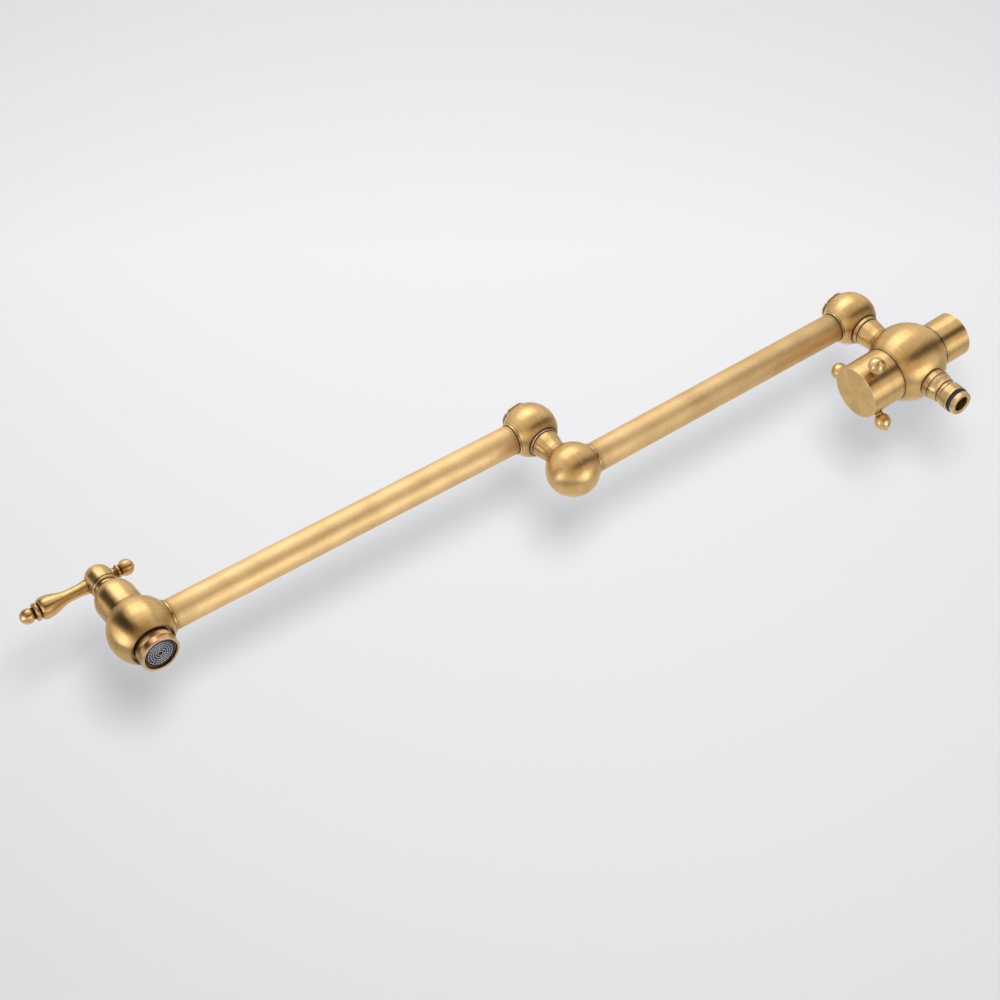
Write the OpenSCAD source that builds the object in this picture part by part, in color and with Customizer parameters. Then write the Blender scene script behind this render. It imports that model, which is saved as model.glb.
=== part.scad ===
// Folding wall tap: a round valve body with a diverter knob and a hose nipple, two arms on
// ball-shaped swivels, and a lever valve with an aerator at the end.
// The wall is the plane y = 0, the tap reaches along -Y, and +Z is up.
// The origin is the centre of the inlet on the wall.

/* [Valve body] */
// Diameter of the round valve body
body_d = 50; // [48:0.5:54]
// Distance from the wall to the centre of the valve body
wall_offset = 41; // [39:0.5:50]
// Diameter of the sleeve that meets the wall
sleeve_d = 29; // [27:0.5:31]
// Width of the flat rim that the body shows round the sleeve
sleeve_rim = 0.5; // [0.3:0.1:1]
// Minor diameter of the wall thread, for a half-inch pipe
inlet_d = 18.6; // [17:0.1:20]
// Depth of the wall thread
inlet_depth = 11; // [9:0.5:12]
// Diameter of the passages through the brass
waterway_d = 9.6; // [8:0.1:10]
// Depth of the threaded stubs that join one brass piece to the next
stub_l = 5; // [4:0.5:6]
// Thickness of the washer in the wall thread
inlet_washer_t = 2; // [1:0.5:3]

/* [Diverter] */
// Diameter of the diverter knob
knob_d = 35.5; // [34:0.5:38]
// Distance from the centre of the body to the face of the knob
knob_reach = 43.3; // [41:0.1:48]
// Wall of the knob's skirt
knob_wall = 2.5; // [2:0.1:3]
// Thickness of the knob's face
knob_face_t = 3.5; // [2.5:0.1:5]
// Diameter of the diverter's cartridge
diverter_d = 22; // [20:0.5:23]
// Brass between the diverter's cartridge and the inlet's stub
diverter_wall = 6.7; // [5:0.1:8]
// Diameter of both spindles
spindle_d = 8; // [7:0.1:9]
// Number of ball studs round the knob
stud_count = 3; // [2:1:5]
// Diameter of a stud's ball
stud_ball_d = 11; // [9:0.1:12]
// Height of a stud's ball centre above the knob's skirt
stud_stand = 7; // [6.5:0.1:9]
// Distance from the knob's face back to the studs
stud_inset = 9; // [6.5:0.1:10]
// Diameter of a stud's stem
stud_stem_d = 5.2; // [4:0.1:6]
// Height of a stud's point above its ball
stud_point = 1.1; // [0.5:0.1:2]
// Diameter of the threaded shanks of the studs and the grub screw
stud_shank_d = 4; // [3:0.1:5]

/* [Hose nipple] */
// Length of the nipple below the body
nipple_l = 26.3; // [25:0.1:32]
// Diameter at the nipple's base
nipple_base_d = 19.4; // [18:0.1:20]
// Diameter at the end of the nipple's taper
nipple_taper_d = 17.2; // [16.6:0.1:17.8]
// Diameter of the nipple's collar, which a hose connector grips
nipple_collar_d = 17.4; // [16.6:0.1:18]
// Diameter of the nipple's tip
nipple_tip_d = 16; // [15.2:0.1:16.4]
// Diameter of the narrow step above the collar
nipple_step_d = 15.6; // [15:0.1:16]
// Thickness of the nipple's O-ring
nipple_o_ring_t = 2.2; // [1.6:0.1:2.6]
// Thickness of the flat gaskets
gasket_t = 0.6; // [0.4:0.1:1]

/* [Swivels] */
// Diameter of the swivel balls and the elbow ball
joint_ball_d = 34; // [33:0.5:38]
// Height of the first swivel above the body's centre
riser_rise = 53; // [52:0.5:60]
// Height of the second swivel above the elbow
elbow_rise = 43.5; // [43:0.5:52]
// Distance from a swivel ball's centre to its flat lower face
joint_face = 13.4; // [12.8:0.1:13.8]
// Open line between a swivel ball and the ring below it
joint_gap = 0.3; // [0.3:0.1:0.6]
// Diameter of the hollow pivot pins
pin_d = 14; // [13:0.1:14.5]
// Thickness of the bearing bushes
bush_t = 2; // [1.5:0.1:2.2]
// Diameter of the chamber above a swivel's pin
chamber_d = 17.2; // [16.8:0.1:17.6]
// Distance from a swivel ball's centre down to the shelf that its nut holds
shelf_drop = 5.2; // [5:0.1:5.6]
// Thickness of that shelf
shelf_t = 1.5; // [1.2:0.1:1.8]
// Thickness of the pins' O-rings
pin_o_ring_t = 1.7; // [1.4:0.1:1.9]
// Diameter of the notched caps
cap_d = 19.4; // [18.8:0.1:20]
// Thickness of the caps' rims
cap_t = 1.5; // [0.8:0.1:2]
// Number of key notches in a cap
cap_notches = 4; // [2:1:6]
// Width of a key notch
notch_w = 2.2; // [1.5:0.1:3]

/* [Necks] */
// Diameter of the lip at the foot of the riser
riser_lip_d = 19.2; // [18:0.1:20]
// Diameter of the riser's waist
riser_waist_d = 16.8; // [16.5:0.1:18]
// Diameter of the ring under the first swivel
riser_ring_d = 20; // [19:0.1:20.4]
// Diameter of the lip at the foot of the elbow's neck
elbow_lip_d = 17.4; // [16.8:0.1:18]
// Diameter of the elbow neck's waist
elbow_waist_d = 15.6; // [14.4:0.1:16.2]
// Diameter of the ring under the second swivel
elbow_ring_d = 19.4; // [18.6:0.1:20.4]

/* [Arms] */
// Outside diameter of the tubes
tube_d = 19; // [18:0.1:19.6]
// Wall of the tubes
tube_wall = 1.2; // [0.8:0.1:2]
// Distance between the first swivel and the elbow
inner_arm_l = 225; // [150:1:300]
// Distance between the second swivel and the spout
outer_arm_l = 275; // [150:1:350]
// Diameter of the collars where the tubes enter the balls
collar_d = 20.8; // [20.4:0.1:22]
// Height of those collars
collar_h = 1.1; // [0.8:0.1:2]

/* [Pose in the photograph] */
// Swing of the inner arm away from square to the wall
inner_swing = 2.5; // [-80:0.5:80]
// Swing of the outer arm past the inner one
outer_swing = 1.1; // [-160:0.1:160]
// Turn of the diverter knob, to its first stud
knob_turn = -18; // [-60:1:60]

/* [Spout valve] */
// Diameter of the ball at the spout
spout_ball_d = 40; // [39:0.5:44]
// Diameter of the cartridge in the spout ball
spout_cartridge_d = 19; // [18:0.1:20]
// Diameter of the bonnet
bonnet_d = 26; // [25.4:0.1:28]
// Height of the bonnet's straight wall
bonnet_wall_h = 12.8; // [10:0.1:14]
// Diameter of the bonnet's neck
bonnet_neck_d = 13.8; // [13.2:0.1:16]
// Height of the lever's axis above the centre of the spout ball
lever_rise = 48; // [46:0.5:54]

/* [Lever] */
// Diameter of the hub
hub_d = 17.6; // [16.6:0.1:19]
// Height of the hub's dome above the lever's axis
hub_dome_h = 9.8; // [8.5:0.1:11]
// Distance from the hub's axis to the centre of the lever's end ball
lever_l = 47; // [44:0.5:70]
// Distance from the end ball's centre back to where the lever starts to widen
lever_taper_l = 27; // [20:0.5:30]
// Diameter of the lever's end ball
lever_ball_d = 9.4; // [8:0.1:11]
// Diameter of the collar behind the end ball
lever_collar_d = 11.4; // [10:0.1:12.4]
// Diameter of the lever's widest part
lever_swell_d = 13.8; // [12:0.1:15]
// Diameter of the lever's narrowest part
lever_waist_d = 7.6; // [6:0.1:8.4]
// Distance from the hub's axis to the centre of the finial ball
finial_reach = 17; // [16:0.5:22]
// Diameter of the finial ball
finial_d = 10; // [8:0.1:11]

/* [Aerator] */
// Outside diameter of the aerator's housing
aerator_d = 24.3; // [23:0.1:24.6]
// Distance from the centre of the spout ball down to the aerator's rim
aerator_drop = 22.8; // [22:0.1:28]
// Diameter of the flat that the ball shows round the aerator
outlet_rim_d = 27.6; // [27.2:0.1:28.4]
// Diameter of the grey insert
insert_d = 19.8; // [18:0.1:20.4]
// Depth of the insert's face behind the rim
insert_recess = 0.9; // [0.5:0.1:2]
// Number of rings in the insert's grille
grille_rings = 5; // [3:1:5]
// Number of spokes in the grille's outer rings, halved and halved again further in
grille_spokes = 24; // [8:4:32]
// Width of the grille's bars
grille_bar = 0.5; // [0.4:0.05:0.7]
// Depth of the two key flats on the housing
key_flat_depth = 0.7; // [0.4:0.05:1]
// Height of the key flats
key_flat_h = 3.6; // [2:0.1:5]
// Turn of the key flats, from square to the arm towards the wall
key_flat_turn = 18; // [-60:1:60]

/* [Hidden] */
$fn = 64;

// Colours
brass = "darkgoldenrod";
bright_brass = "goldenrod";
rubber = "dimgray";
ceramic = "white";
plastic = "gray";

// Clearances: fixed pieces in their seats, and turning pieces in their bearings
seat_gap = 0.05;
spin_gap = 0.05;
free_gap = 0.4;
// Overshoot of the cuts
cut = 1;

// Radii
body_r = body_d / 2;
sleeve_r = sleeve_d / 2;
knob_r = knob_d / 2;
joint_ball_r = joint_ball_d / 2;
spout_ball_r = spout_ball_d / 2;
waterway_r = waterway_d / 2;
diverter_r = diverter_d / 2;
spindle_r = spindle_d / 2;
pin_r = pin_d / 2;
chamber_r = chamber_d / 2;
cap_r = cap_d / 2;
tube_r = tube_d / 2;
bonnet_r = bonnet_d / 2;
hub_r = hub_d / 2;
aerator_r = aerator_d / 2;
insert_r = insert_d / 2;
spout_cartridge_r = spout_cartridge_d / 2;
nipple_base_r = nipple_base_d / 2;
stud_shank_r = stud_shank_d / 2;

// Distance from a ball's centre to a flat of the given radius on it
function flat_at(ball_r, flat_r) = sqrt(ball_r * ball_r - flat_r * flat_r);

// Flats on the valve body
body_front = flat_at(body_r, knob_r - seat_gap);
body_rear = flat_at(body_r, sleeve_r + sleeve_rim);
body_top = flat_at(body_r, riser_lip_d / 2 + 0.2);
body_low = flat_at(body_r, nipple_base_r + 0.3);

// Stubs: radius of a threaded stub and of the hole that takes it
stub_r = 7;
sleeve_stub_r = 9.5;

// Relief behind the wall thread, where its washer lies
relief_depth = 1.2;
washer_room = 0.6;
relief_l = inlet_washer_t + washer_room;
relief_low = wall_offset - inlet_depth - relief_l;

// Diverter, measured outwards from the body's centre
diverter_back = stub_l + diverter_wall - body_rear;
diverter_depth = body_front - diverter_back;
seal_t = 1.5;
disc_t = 2.5;
disc_r = diverter_r - 2;
diverter_roof = diverter_back + 14;
diverter_flange_t = 3;
spindle_foot_t = 1.5;
spindle_rim = 0.8;
diverter_neck_l = 4;
knob_rim = body_front + joint_gap;
knob_floor = knob_reach - knob_face_t;
knob_bore_r = knob_r - knob_wall;
knob_boss_r = spindle_r + 3.5;
knob_boss_low = body_front + diverter_flange_t + diverter_neck_l + 1;
diverter_spindle_top = knob_floor - 2;
stud_ball_r = stud_ball_d / 2;
stud_axis = knob_reach - stud_inset;
grub_turn = (floor(stud_count / 2) + 0.5) * 360 / stud_count;

// Swivels, measured from a swivel ball's centre
cap_seat = flat_at(joint_ball_r, cap_r);
cap_plug_l = 3.5;
bush_r = pin_r + bush_t;
shelf_hole_r = pin_r + 0.6;
pin_washer_t = 1;
pin_nut_h = 3;
pin_top_drop = shelf_drop - spin_gap - pin_washer_t - pin_nut_h;
nut_r = chamber_r - free_gap;
joint_socket = chamber_r + 1.9;
pin_o_ring_low = 11.6;
pin_o_ring_high = 8.6;
slot_w = 2;
slot_depth = 1;

// Feet of the two necks above the centres of the balls below them
riser_foot = body_top;
elbow_foot = flat_at(joint_ball_r, elbow_lip_d / 2 + 0.1);

// Spout valve, measured up from the centre of the spout ball
spout_top = flat_at(spout_ball_r, bonnet_r);
spout_low = flat_at(spout_ball_r, outlet_rim_d / 2);
spout_seat = -4;
spout_socket = spout_cartridge_r + 3.5;
spout_shell_r = spout_cartridge_r - 1.3;
spout_disc_r = spout_shell_r - 1.4;
spout_seal_t = 1;
spout_disc_t = 2.5;
spout_flange_low = 8;
spout_roof = spout_flange_low + 0.5;
spout_hex_r = 11;
spout_hex_h = 6;
spout_neck_r = spindle_r + 2.5;
hub_base = lever_rise - 7;
bonnet_top = hub_base - joint_gap;
bonnet_neck_low = bonnet_top - 2.6;
bonnet_wall_top = spout_top + bonnet_wall_h;
bonnet_bore_top = bonnet_wall_top + 5.5;
bonnet_cavity_r = bonnet_r - 1.6;
spout_spindle_top = lever_rise + 2;
spotface = hub_r - 0.8;

// Aerator, measured down from the centre of the spout ball
outlet_seat = 8;
aerator_seal_t = 1.5;
aerator_thread_r = aerator_r - 0.15;
aerator_top = outlet_seat + aerator_seal_t;
aerator_shelf_t = 1.5;
outlet_counterbore = 2.4;
mouth_gap = 0.6;
mouth_relief = 1.6;
insert_bore_r = insert_r - 1.2;
insert_step = 0.4;
insert_step_h = 1.2;
grille_t = 1.6;

// Places: each moves its children from the origin to the centre of that ball
module to_body() translate([0, -wall_offset, 0]) children();
module to_inner_joint() to_body() translate([0, 0, riser_rise]) rotate([0, 0, inner_swing]) children();
module to_elbow() to_inner_joint() translate([0, -inner_arm_l, 0]) children();
module to_outer_joint() to_elbow() translate([0, 0, elbow_rise]) rotate([0, 0, outer_swing]) children();
module to_spout() to_outer_joint() translate([0, -outer_arm_l, 0]) children();

// Directions: each turns an upright piece to point that way
module outward() rotate([90, 0, 0]) children();
module wallward() rotate([-90, 0, 0]) children();
module downward() rotate([180, 0, 0]) children();

// Points along an arc, for outlines
function arc(cx, cy, r, from, to, steps = 10) =
    [for (i = [0:steps]) let (a = from + (to - from) * i / steps) [cx + r * cos(a), cy + r * sin(a)]];

// Points along a quarter of an ellipse, from its side to its crown
function shoulder(cx, cy, rx, ry, to = 90, steps = 12) =
    [for (i = [0:steps]) let (a = to * i / steps) [cx + rx * cos(a), cy + ry * sin(a)]];

// Points along a smooth change of radius, level at both ends
function swell(r0, r1, z0, z1, steps = 10) =
    [for (i = [0:steps]) let (t = i / steps) [r0 + (r1 - r0) * (1 - cos(180 * t)) / 2, z0 + (z1 - z0) * t]];

// A piece turned on a lathe from an outline of [radius, height] points
module turned(outline) rotate_extrude() polygon(outline);

// A flat ring
module ring(outer_r, inner_r, low, high)
    turned([[inner_r, low], [outer_r, low], [outer_r, high], [inner_r, high]]);

// An O-ring whose outside has the given radius
module o_ring(outer_r, thickness, height)
    translate([0, 0, height]) rotate_extrude() translate([outer_r - thickness / 2, 0]) circle(d = thickness);

// A ball faced flat below and above
module faced_ball(r, low, high)
    intersection() {
        sphere(r = r);
        translate([-r - cut, -r - cut, -low]) cube([2 * r + 2 * cut, 2 * r + 2 * cut, low + high]);
    }

// Collar round a tube where it enters a ball, along +Z
module tube_collar(ball_r)
    translate([0, 0, flat_at(ball_r, collar_d / 2) - cut]) cylinder(d = collar_d, h = collar_h + cut);

// Socket for a tube along +Z, with the passage behind it
module tube_socket(floor_at, ball_r, passage_from) {
    translate([0, 0, floor_at]) cylinder(r = tube_r + seat_gap, h = ball_r);
    translate([0, 0, passage_from]) cylinder(r = waterway_r, h = floor_at - passage_from + cut);
}

// Tube between two sockets, along +Z
module tube(from, to)
    difference() {
        translate([0, 0, from]) cylinder(r = tube_r, h = to - from);
        translate([0, 0, from - cut]) cylinder(r = tube_r - tube_wall, h = to - from + 2 * cut);
    }

// Cartridge disc with two ports
module port_disc(r, low, thickness, port_r)
    difference() {
        translate([0, 0, low]) cylinder(r = r, h = thickness);
        for (side = [-1, 1])
            translate([side * r / 2, 0, low - cut]) cylinder(r = port_r, h = thickness + 2 * cut);
    }

// Valve body
module body_port(face)
    union() {
        cylinder(r = waterway_r, h = face);
        translate([0, 0, face - stub_l]) cylinder(r = stub_r + seat_gap, h = stub_l + cut);
    }

module valve_body()
    color(brass) to_body() difference() {
        intersection() {
            sphere(r = body_r);
            translate([-body_r - cut, -body_front, -body_low])
                cube([body_d + 2 * cut, body_front + body_rear, body_low + body_top]);
        }
        outward() translate([0, 0, diverter_back]) cylinder(r = diverter_r + seat_gap, h = diverter_depth + cut);
        wallward() cylinder(r = waterway_r, h = body_rear);
        wallward() translate([0, 0, body_rear - stub_l]) cylinder(r = sleeve_stub_r + seat_gap, h = stub_l + cut);
        body_port(body_top);
        downward() body_port(body_low);
    }

// Inlet
module inlet_sleeve()
    color(brass) to_body() wallward() difference() {
        turned([[0, body_rear - stub_l], [sleeve_stub_r, body_rear - stub_l], [sleeve_stub_r, body_rear],
            [sleeve_r, body_rear], [sleeve_r, body_rear + 1], [sleeve_r - 0.4, body_rear + 1.2],
            [sleeve_r - 0.4, body_rear + 1.6], [sleeve_r, body_rear + 1.8], [sleeve_r, wall_offset - 0.6],
            [sleeve_r - 0.6, wall_offset], [0, wall_offset]]);
        translate([0, 0, body_rear - stub_l - cut]) cylinder(r = waterway_r, h = wall_offset);
        translate([0, 0, wall_offset - inlet_depth - cut]) cylinder(d = inlet_d, h = inlet_depth + 2 * cut);
        translate([0, 0, relief_low]) cylinder(r = inlet_d / 2 + relief_depth, h = relief_l);
    }

module inlet_washer()
    color(rubber) to_body() wallward()
        ring(inlet_d / 2 - 0.2, waterway_r + 0.6, relief_low, relief_low + inlet_washer_t);

// Hose nipple, drawn with its height measured down from the body's centre
nipple_base = body_low + gasket_t;
nipple_tip = body_low + nipple_l;
nipple_bore_r = 5.2;
nipple_collar_low = nipple_tip - 12.2;
nipple_collar_high = nipple_tip - 6;
nipple_groove_low = nipple_tip - 5.6;
nipple_groove_high = nipple_tip - 2.9;
nipple_groove_r = nipple_tip_d / 2 + 0.5 - nipple_o_ring_t;

module hose_nipple()
    color(bright_brass) to_body() downward() difference() {
        turned(concat(
            [[0, body_low - stub_l], [stub_r, body_low - stub_l], [stub_r, nipple_base],
                [nipple_base_r, nipple_base], [nipple_base_r, nipple_base + 3.9],
                [nipple_base_r - 0.25, nipple_base + 4.1], [nipple_base_r - 0.25, nipple_base + 4.4],
                [nipple_base_r - 0.1, nipple_base + 4.6]],
            swell(nipple_base_r - 0.15, nipple_taper_d / 2, nipple_base + 5, nipple_collar_low - 3.6, 6),
            [[nipple_step_d / 2, nipple_collar_low - 2.9], [nipple_step_d / 2 - 0.3, nipple_collar_low - 2.8]],
            [[nipple_step_d / 2 - 0.3, nipple_collar_low - 2.5],
                [nipple_step_d / 2, nipple_collar_low - 2.4], [nipple_step_d / 2, nipple_collar_low - 0.5],
                [nipple_step_d / 2 - 0.5, nipple_collar_low - 0.5], [nipple_step_d / 2 - 0.5, nipple_collar_low],
                [nipple_collar_d / 2 - 0.5, nipple_collar_low], [nipple_collar_d / 2, nipple_collar_low + 0.7],
                [nipple_collar_d / 2, nipple_collar_high], [nipple_tip_d / 2, nipple_groove_low],
                [nipple_groove_r - seat_gap, nipple_groove_low], [nipple_groove_r - seat_gap, nipple_groove_high],
                [nipple_tip_d / 2, nipple_groove_high], [nipple_tip_d / 2, nipple_tip - 0.5],
                [nipple_tip_d / 2 - 0.5, nipple_tip], [0, nipple_tip]]));
        translate([0, 0, body_low - stub_l - cut]) cylinder(r = waterway_r - 0.6, h = nipple_l + stub_l);
        translate([0, 0, nipple_collar_low]) cylinder(r = nipple_bore_r, h = nipple_l);
    }

module nipple_gasket()
    color(rubber) to_body() downward()
        ring(nipple_base_r - 0.2, stub_r + 0.1, body_low, nipple_base);

module nipple_o_ring()
    color(rubber) to_body() downward()
        o_ring(nipple_groove_r + nipple_o_ring_t, nipple_o_ring_t, (nipple_groove_low + nipple_groove_high) / 2);

// Diverter cartridge
module diverter_housing()
    color(bright_brass) to_body() outward() difference() {
        union() {
            translate([0, 0, diverter_back]) cylinder(r = diverter_r, h = diverter_depth);
            translate([0, 0, body_front]) cylinder(r = knob_bore_r - 1.5, h = diverter_flange_t, $fn = 6);
            translate([0, 0, body_front]) cylinder(r = knob_boss_r - 0.5, h = diverter_flange_t + diverter_neck_l);
        }
        translate([0, 0, diverter_back - cut]) cylinder(r = disc_r + seat_gap, h = diverter_roof - diverter_back + cut);
        translate([0, 0, diverter_roof - cut]) cylinder(r = spindle_r + spin_gap, h = knob_reach);
        rotate([90, 0, 0]) cylinder(r = waterway_r - 0.6, h = body_d, center = true);
    }

module diverter_seat_seal()
    color(rubber) to_body() outward()
        ring(disc_r, waterway_r + 1, diverter_back, diverter_back + seal_t);

module diverter_fixed_disc()
    color(ceramic) to_body() outward() port_disc(disc_r, diverter_back + seal_t, disc_t, 2.4);

module diverter_moving_disc()
    color(ceramic) to_body() outward() port_disc(disc_r - 0.3, diverter_back + seal_t + disc_t + spin_gap, disc_t, 2.4);

module diverter_spindle()
    color(bright_brass) to_body() outward() turned([
        [0, diverter_back + seal_t + 2 * disc_t + spin_gap],
        [disc_r - 3, diverter_back + seal_t + 2 * disc_t + spin_gap],
        [disc_r - 3, diverter_back + seal_t + 2 * disc_t + spindle_foot_t],
        [spindle_r + spindle_rim, diverter_back + seal_t + 2 * disc_t + spindle_foot_t],
        [spindle_r + spindle_rim, diverter_roof - free_gap], [spindle_r, diverter_roof - free_gap],
        [spindle_r, diverter_spindle_top], [0, diverter_spindle_top]]);

// Diverter knob
module at_studs()
    for (i = [0:stud_count - 1])
        rotate([0, 0, knob_turn + i * 360 / stud_count]) translate([0, 0, stud_axis]) rotate([0, 90, 0]) children();

module at_grub()
    rotate([0, 0, knob_turn + grub_turn]) translate([0, 0, stud_axis - 3]) rotate([0, 90, 0]) children();

module diverter_knob()
    color(brass) to_body() outward() difference() {
        union() {
            difference() {
                turned([[0, knob_rim], [knob_r, knob_rim], [knob_r, knob_reach - 0.4],
                    [knob_r - 0.4, knob_reach], [0, knob_reach]]);
                translate([0, 0, knob_rim - cut]) cylinder(r = knob_bore_r, h = knob_floor - knob_rim + cut);
            }
            translate([0, 0, knob_boss_low]) cylinder(r = knob_boss_r, h = knob_floor - knob_boss_low + cut);
        }
        translate([0, 0, knob_rim]) cylinder(r = spindle_r + seat_gap, h = diverter_spindle_top - knob_rim);
        at_studs() translate([0, 0, knob_bore_r - cut]) cylinder(r = stud_shank_r + seat_gap, h = knob_wall + 2 * cut);
        at_grub() translate([0, 0, spindle_r - cut]) cylinder(r = stud_shank_r + seat_gap, h = knob_r);
    }

stud_centre = knob_r + stud_stand;
stud_neck_angle = asin((stud_stem_d / 2) / stud_ball_r);
stud_point_angle = acos(stud_ball_r / (stud_ball_r + stud_point));

module knob_studs()
    color(bright_brass) to_body() outward() at_studs() turned(concat(
        [[0, knob_bore_r], [stud_shank_r, knob_bore_r], [stud_shank_r, knob_r + seat_gap],
            [stud_stem_d / 2, knob_r + seat_gap]],
        arc(0, stud_centre, stud_ball_r, stud_neck_angle - 90, 90 - stud_point_angle, 16),
        [[0, stud_centre + stud_ball_r + stud_point]]));

module knob_grub_screw()
    color("gray") to_body() outward() at_grub() difference() {
        translate([0, 0, spindle_r + seat_gap]) cylinder(r = stud_shank_r, h = knob_boss_r - spindle_r);
        translate([0, 0, knob_boss_r - 1]) cylinder(r = stud_shank_r / 2, h = 2, $fn = 6);
    }

// Necks with their hollow pivot pins. Heights are measured from the centre of the ball below.
module spigot(foot, rise, lip_d, lip_h, waist_d, waist_h, flare_d, ring_d, ring_h, groove_depth) {
    ring_top = rise - joint_face - joint_gap;
    ring_low = ring_top - ring_h;
    groove_w = 0.6;
    o_ring_floor = pin_r - pin_o_ring_t - seat_gap;
    half = pin_o_ring_t / 2 + 0.15;
    turned(concat(
        [[waterway_r - 0.8, foot - stub_l], [stub_r, foot - stub_l], [stub_r, foot], [lip_d / 2, foot],
            [lip_d / 2, foot + lip_h]],
        swell(lip_d / 2 - 0.4, waist_d / 2, foot + lip_h, foot + waist_h),
        [for (p = swell(waist_d / 2, flare_d / 2, foot + waist_h, ring_low - groove_w)) if (p[1] > foot + waist_h) p],
        [[flare_d / 2 - groove_depth, ring_low - groove_w], [flare_d / 2 - groove_depth, ring_low],
            [ring_d / 2 - 0.3, ring_low], [ring_d / 2, ring_low + 0.4], [ring_d / 2, ring_top - 0.4],
            [ring_d / 2 - 0.4, ring_top], [pin_r, ring_top]],
        [for (drop = [pin_o_ring_low, pin_o_ring_high])
            each [[pin_r, rise - drop - half], [o_ring_floor, rise - drop - half],
                [o_ring_floor, rise - drop + half], [pin_r, rise - drop + half]]],
        [[pin_r, rise - pin_top_drop], [waterway_r - 0.8, rise - pin_top_drop]]));
}

module riser_spigot()
    color(brass) to_body()
        spigot(riser_foot, riser_rise, riser_lip_d, 0.9, riser_waist_d, 3, 18.8, riser_ring_d, 2.6, 0.5);

module elbow_spigot()
    color(brass) to_elbow()
        spigot(elbow_foot, elbow_rise, elbow_lip_d, 0.9, elbow_waist_d, 4.2, 18.6, elbow_ring_d, 0.9, 0.2);

// Pieces of a swivel, seen from the swivel ball's centre
module pin_o_rings()
    for (drop = [pin_o_ring_low, pin_o_ring_high])
        o_ring(pin_r, pin_o_ring_t, -drop);

module pin_washer()
    ring(nut_r, pin_r + seat_gap, spin_gap - shelf_drop, spin_gap - shelf_drop + pin_washer_t);

module pin_nut()
    difference() {
        ring(nut_r, pin_r + seat_gap, -pin_top_drop - pin_nut_h, -pin_top_drop);
        translate([-nut_r - cut, -slot_w / 2, -pin_top_drop - slot_depth])
            cube([2 * nut_r + 2 * cut, slot_w, slot_depth + cut]);
    }

module pin_bush()
    ring(bush_r, pin_r + spin_gap, -joint_face, -shelf_drop - shelf_t);

module swivel_ball()
    difference() {
        union() {
            faced_ball(joint_ball_r, joint_face, cap_seat);
            outward() tube_collar(joint_ball_r);
        }
        translate([0, 0, -joint_face - cut])
            cylinder(r = bush_r + seat_gap, h = joint_face - shelf_drop - shelf_t + cut);
        translate([0, 0, -joint_face]) cylinder(r = shelf_hole_r, h = joint_face);
        translate([0, 0, -shelf_drop]) cylinder(r = chamber_r, h = shelf_drop + cap_seat + cut);
        outward() tube_socket(joint_socket, joint_ball_r, 0);
    }

module swivel_cap()
    difference() {
        turned([[0, cap_seat - cap_plug_l + 1], [chamber_r - 2, cap_seat - cap_plug_l + 1],
            [chamber_r - 2, cap_seat - cap_plug_l], [chamber_r - seat_gap, cap_seat - cap_plug_l],
            [chamber_r - seat_gap, cap_seat + gasket_t], [cap_r, cap_seat + gasket_t],
            [cap_r, cap_seat + gasket_t + cap_t - 0.2], [cap_r - 0.3, cap_seat + gasket_t + cap_t],
            [0, cap_seat + gasket_t + cap_t]]);
        for (i = [0:cap_notches - 1])
            rotate([0, 0, -45 + i * 360 / cap_notches])
                translate([cap_r - 1.2, -notch_w / 2, cap_seat + gasket_t - cut])
                    cube([3, notch_w, cap_t + 2 * cut]);
    }

module swivel_cap_gasket()
    ring(cap_r - 0.2, chamber_r + 0.05, cap_seat, cap_seat + gasket_t);

module riser_o_rings() color(rubber) to_inner_joint() pin_o_rings();
module riser_washer() color(bright_brass) to_inner_joint() pin_washer();
module riser_nut() color(bright_brass) to_inner_joint() pin_nut();
module inner_bush() color(plastic) to_inner_joint() pin_bush();
module inner_ball() color(brass) to_inner_joint() swivel_ball();
module inner_cap() color(bright_brass) to_inner_joint() swivel_cap();
module inner_cap_gasket() color(rubber) to_inner_joint() swivel_cap_gasket();

module elbow_o_rings() color(rubber) to_outer_joint() pin_o_rings();
module elbow_washer() color(bright_brass) to_outer_joint() pin_washer();
module elbow_nut() color(bright_brass) to_outer_joint() pin_nut();
module outer_bush() color(plastic) to_outer_joint() pin_bush();
module outer_ball() color(brass) to_outer_joint() swivel_ball();
module outer_cap() color(bright_brass) to_outer_joint() swivel_cap();
module outer_cap_gasket() color(rubber) to_outer_joint() swivel_cap_gasket();

// Arms
module inner_tube()
    color(brass) to_inner_joint() outward() tube(joint_socket, inner_arm_l - joint_socket);

module outer_tube()
    color(brass) to_outer_joint() outward() tube(joint_socket, outer_arm_l - spout_socket);

module elbow_ball()
    color(brass) to_elbow() difference() {
        union() {
            faced_ball(joint_ball_r, joint_ball_r, elbow_foot);
            wallward() tube_collar(joint_ball_r);
        }
        cylinder(r = waterway_r, h = elbow_foot);
        translate([0, 0, elbow_foot - stub_l]) cylinder(r = stub_r + seat_gap, h = stub_l + cut);
        wallward() tube_socket(joint_socket, joint_ball_r, 0);
    }

// Spout ball with its seat, outlet and tube socket
module spout_ball()
    color(brass) to_spout() difference() {
        union() {
            faced_ball(spout_ball_r, spout_low, spout_top);
            wallward() tube_collar(spout_ball_r);
        }
        translate([0, 0, spout_seat]) cylinder(r = spout_cartridge_r + seat_gap, h = spout_top - spout_seat + cut);
        translate([0, 0, -outlet_seat - cut]) cylinder(r = waterway_r, h = outlet_seat + 2 * cut);
        downward() translate([0, 0, outlet_seat]) cylinder(r = aerator_thread_r + seat_gap, h = spout_ball_r);
        downward() translate([0, 0, spout_low - outlet_counterbore])
            cylinder(r = outlet_rim_d / 2 - free_gap, h = spout_ball_r);
        wallward() tube_socket(spout_socket, spout_ball_r, spout_cartridge_r - 1.5);
    }

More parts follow.
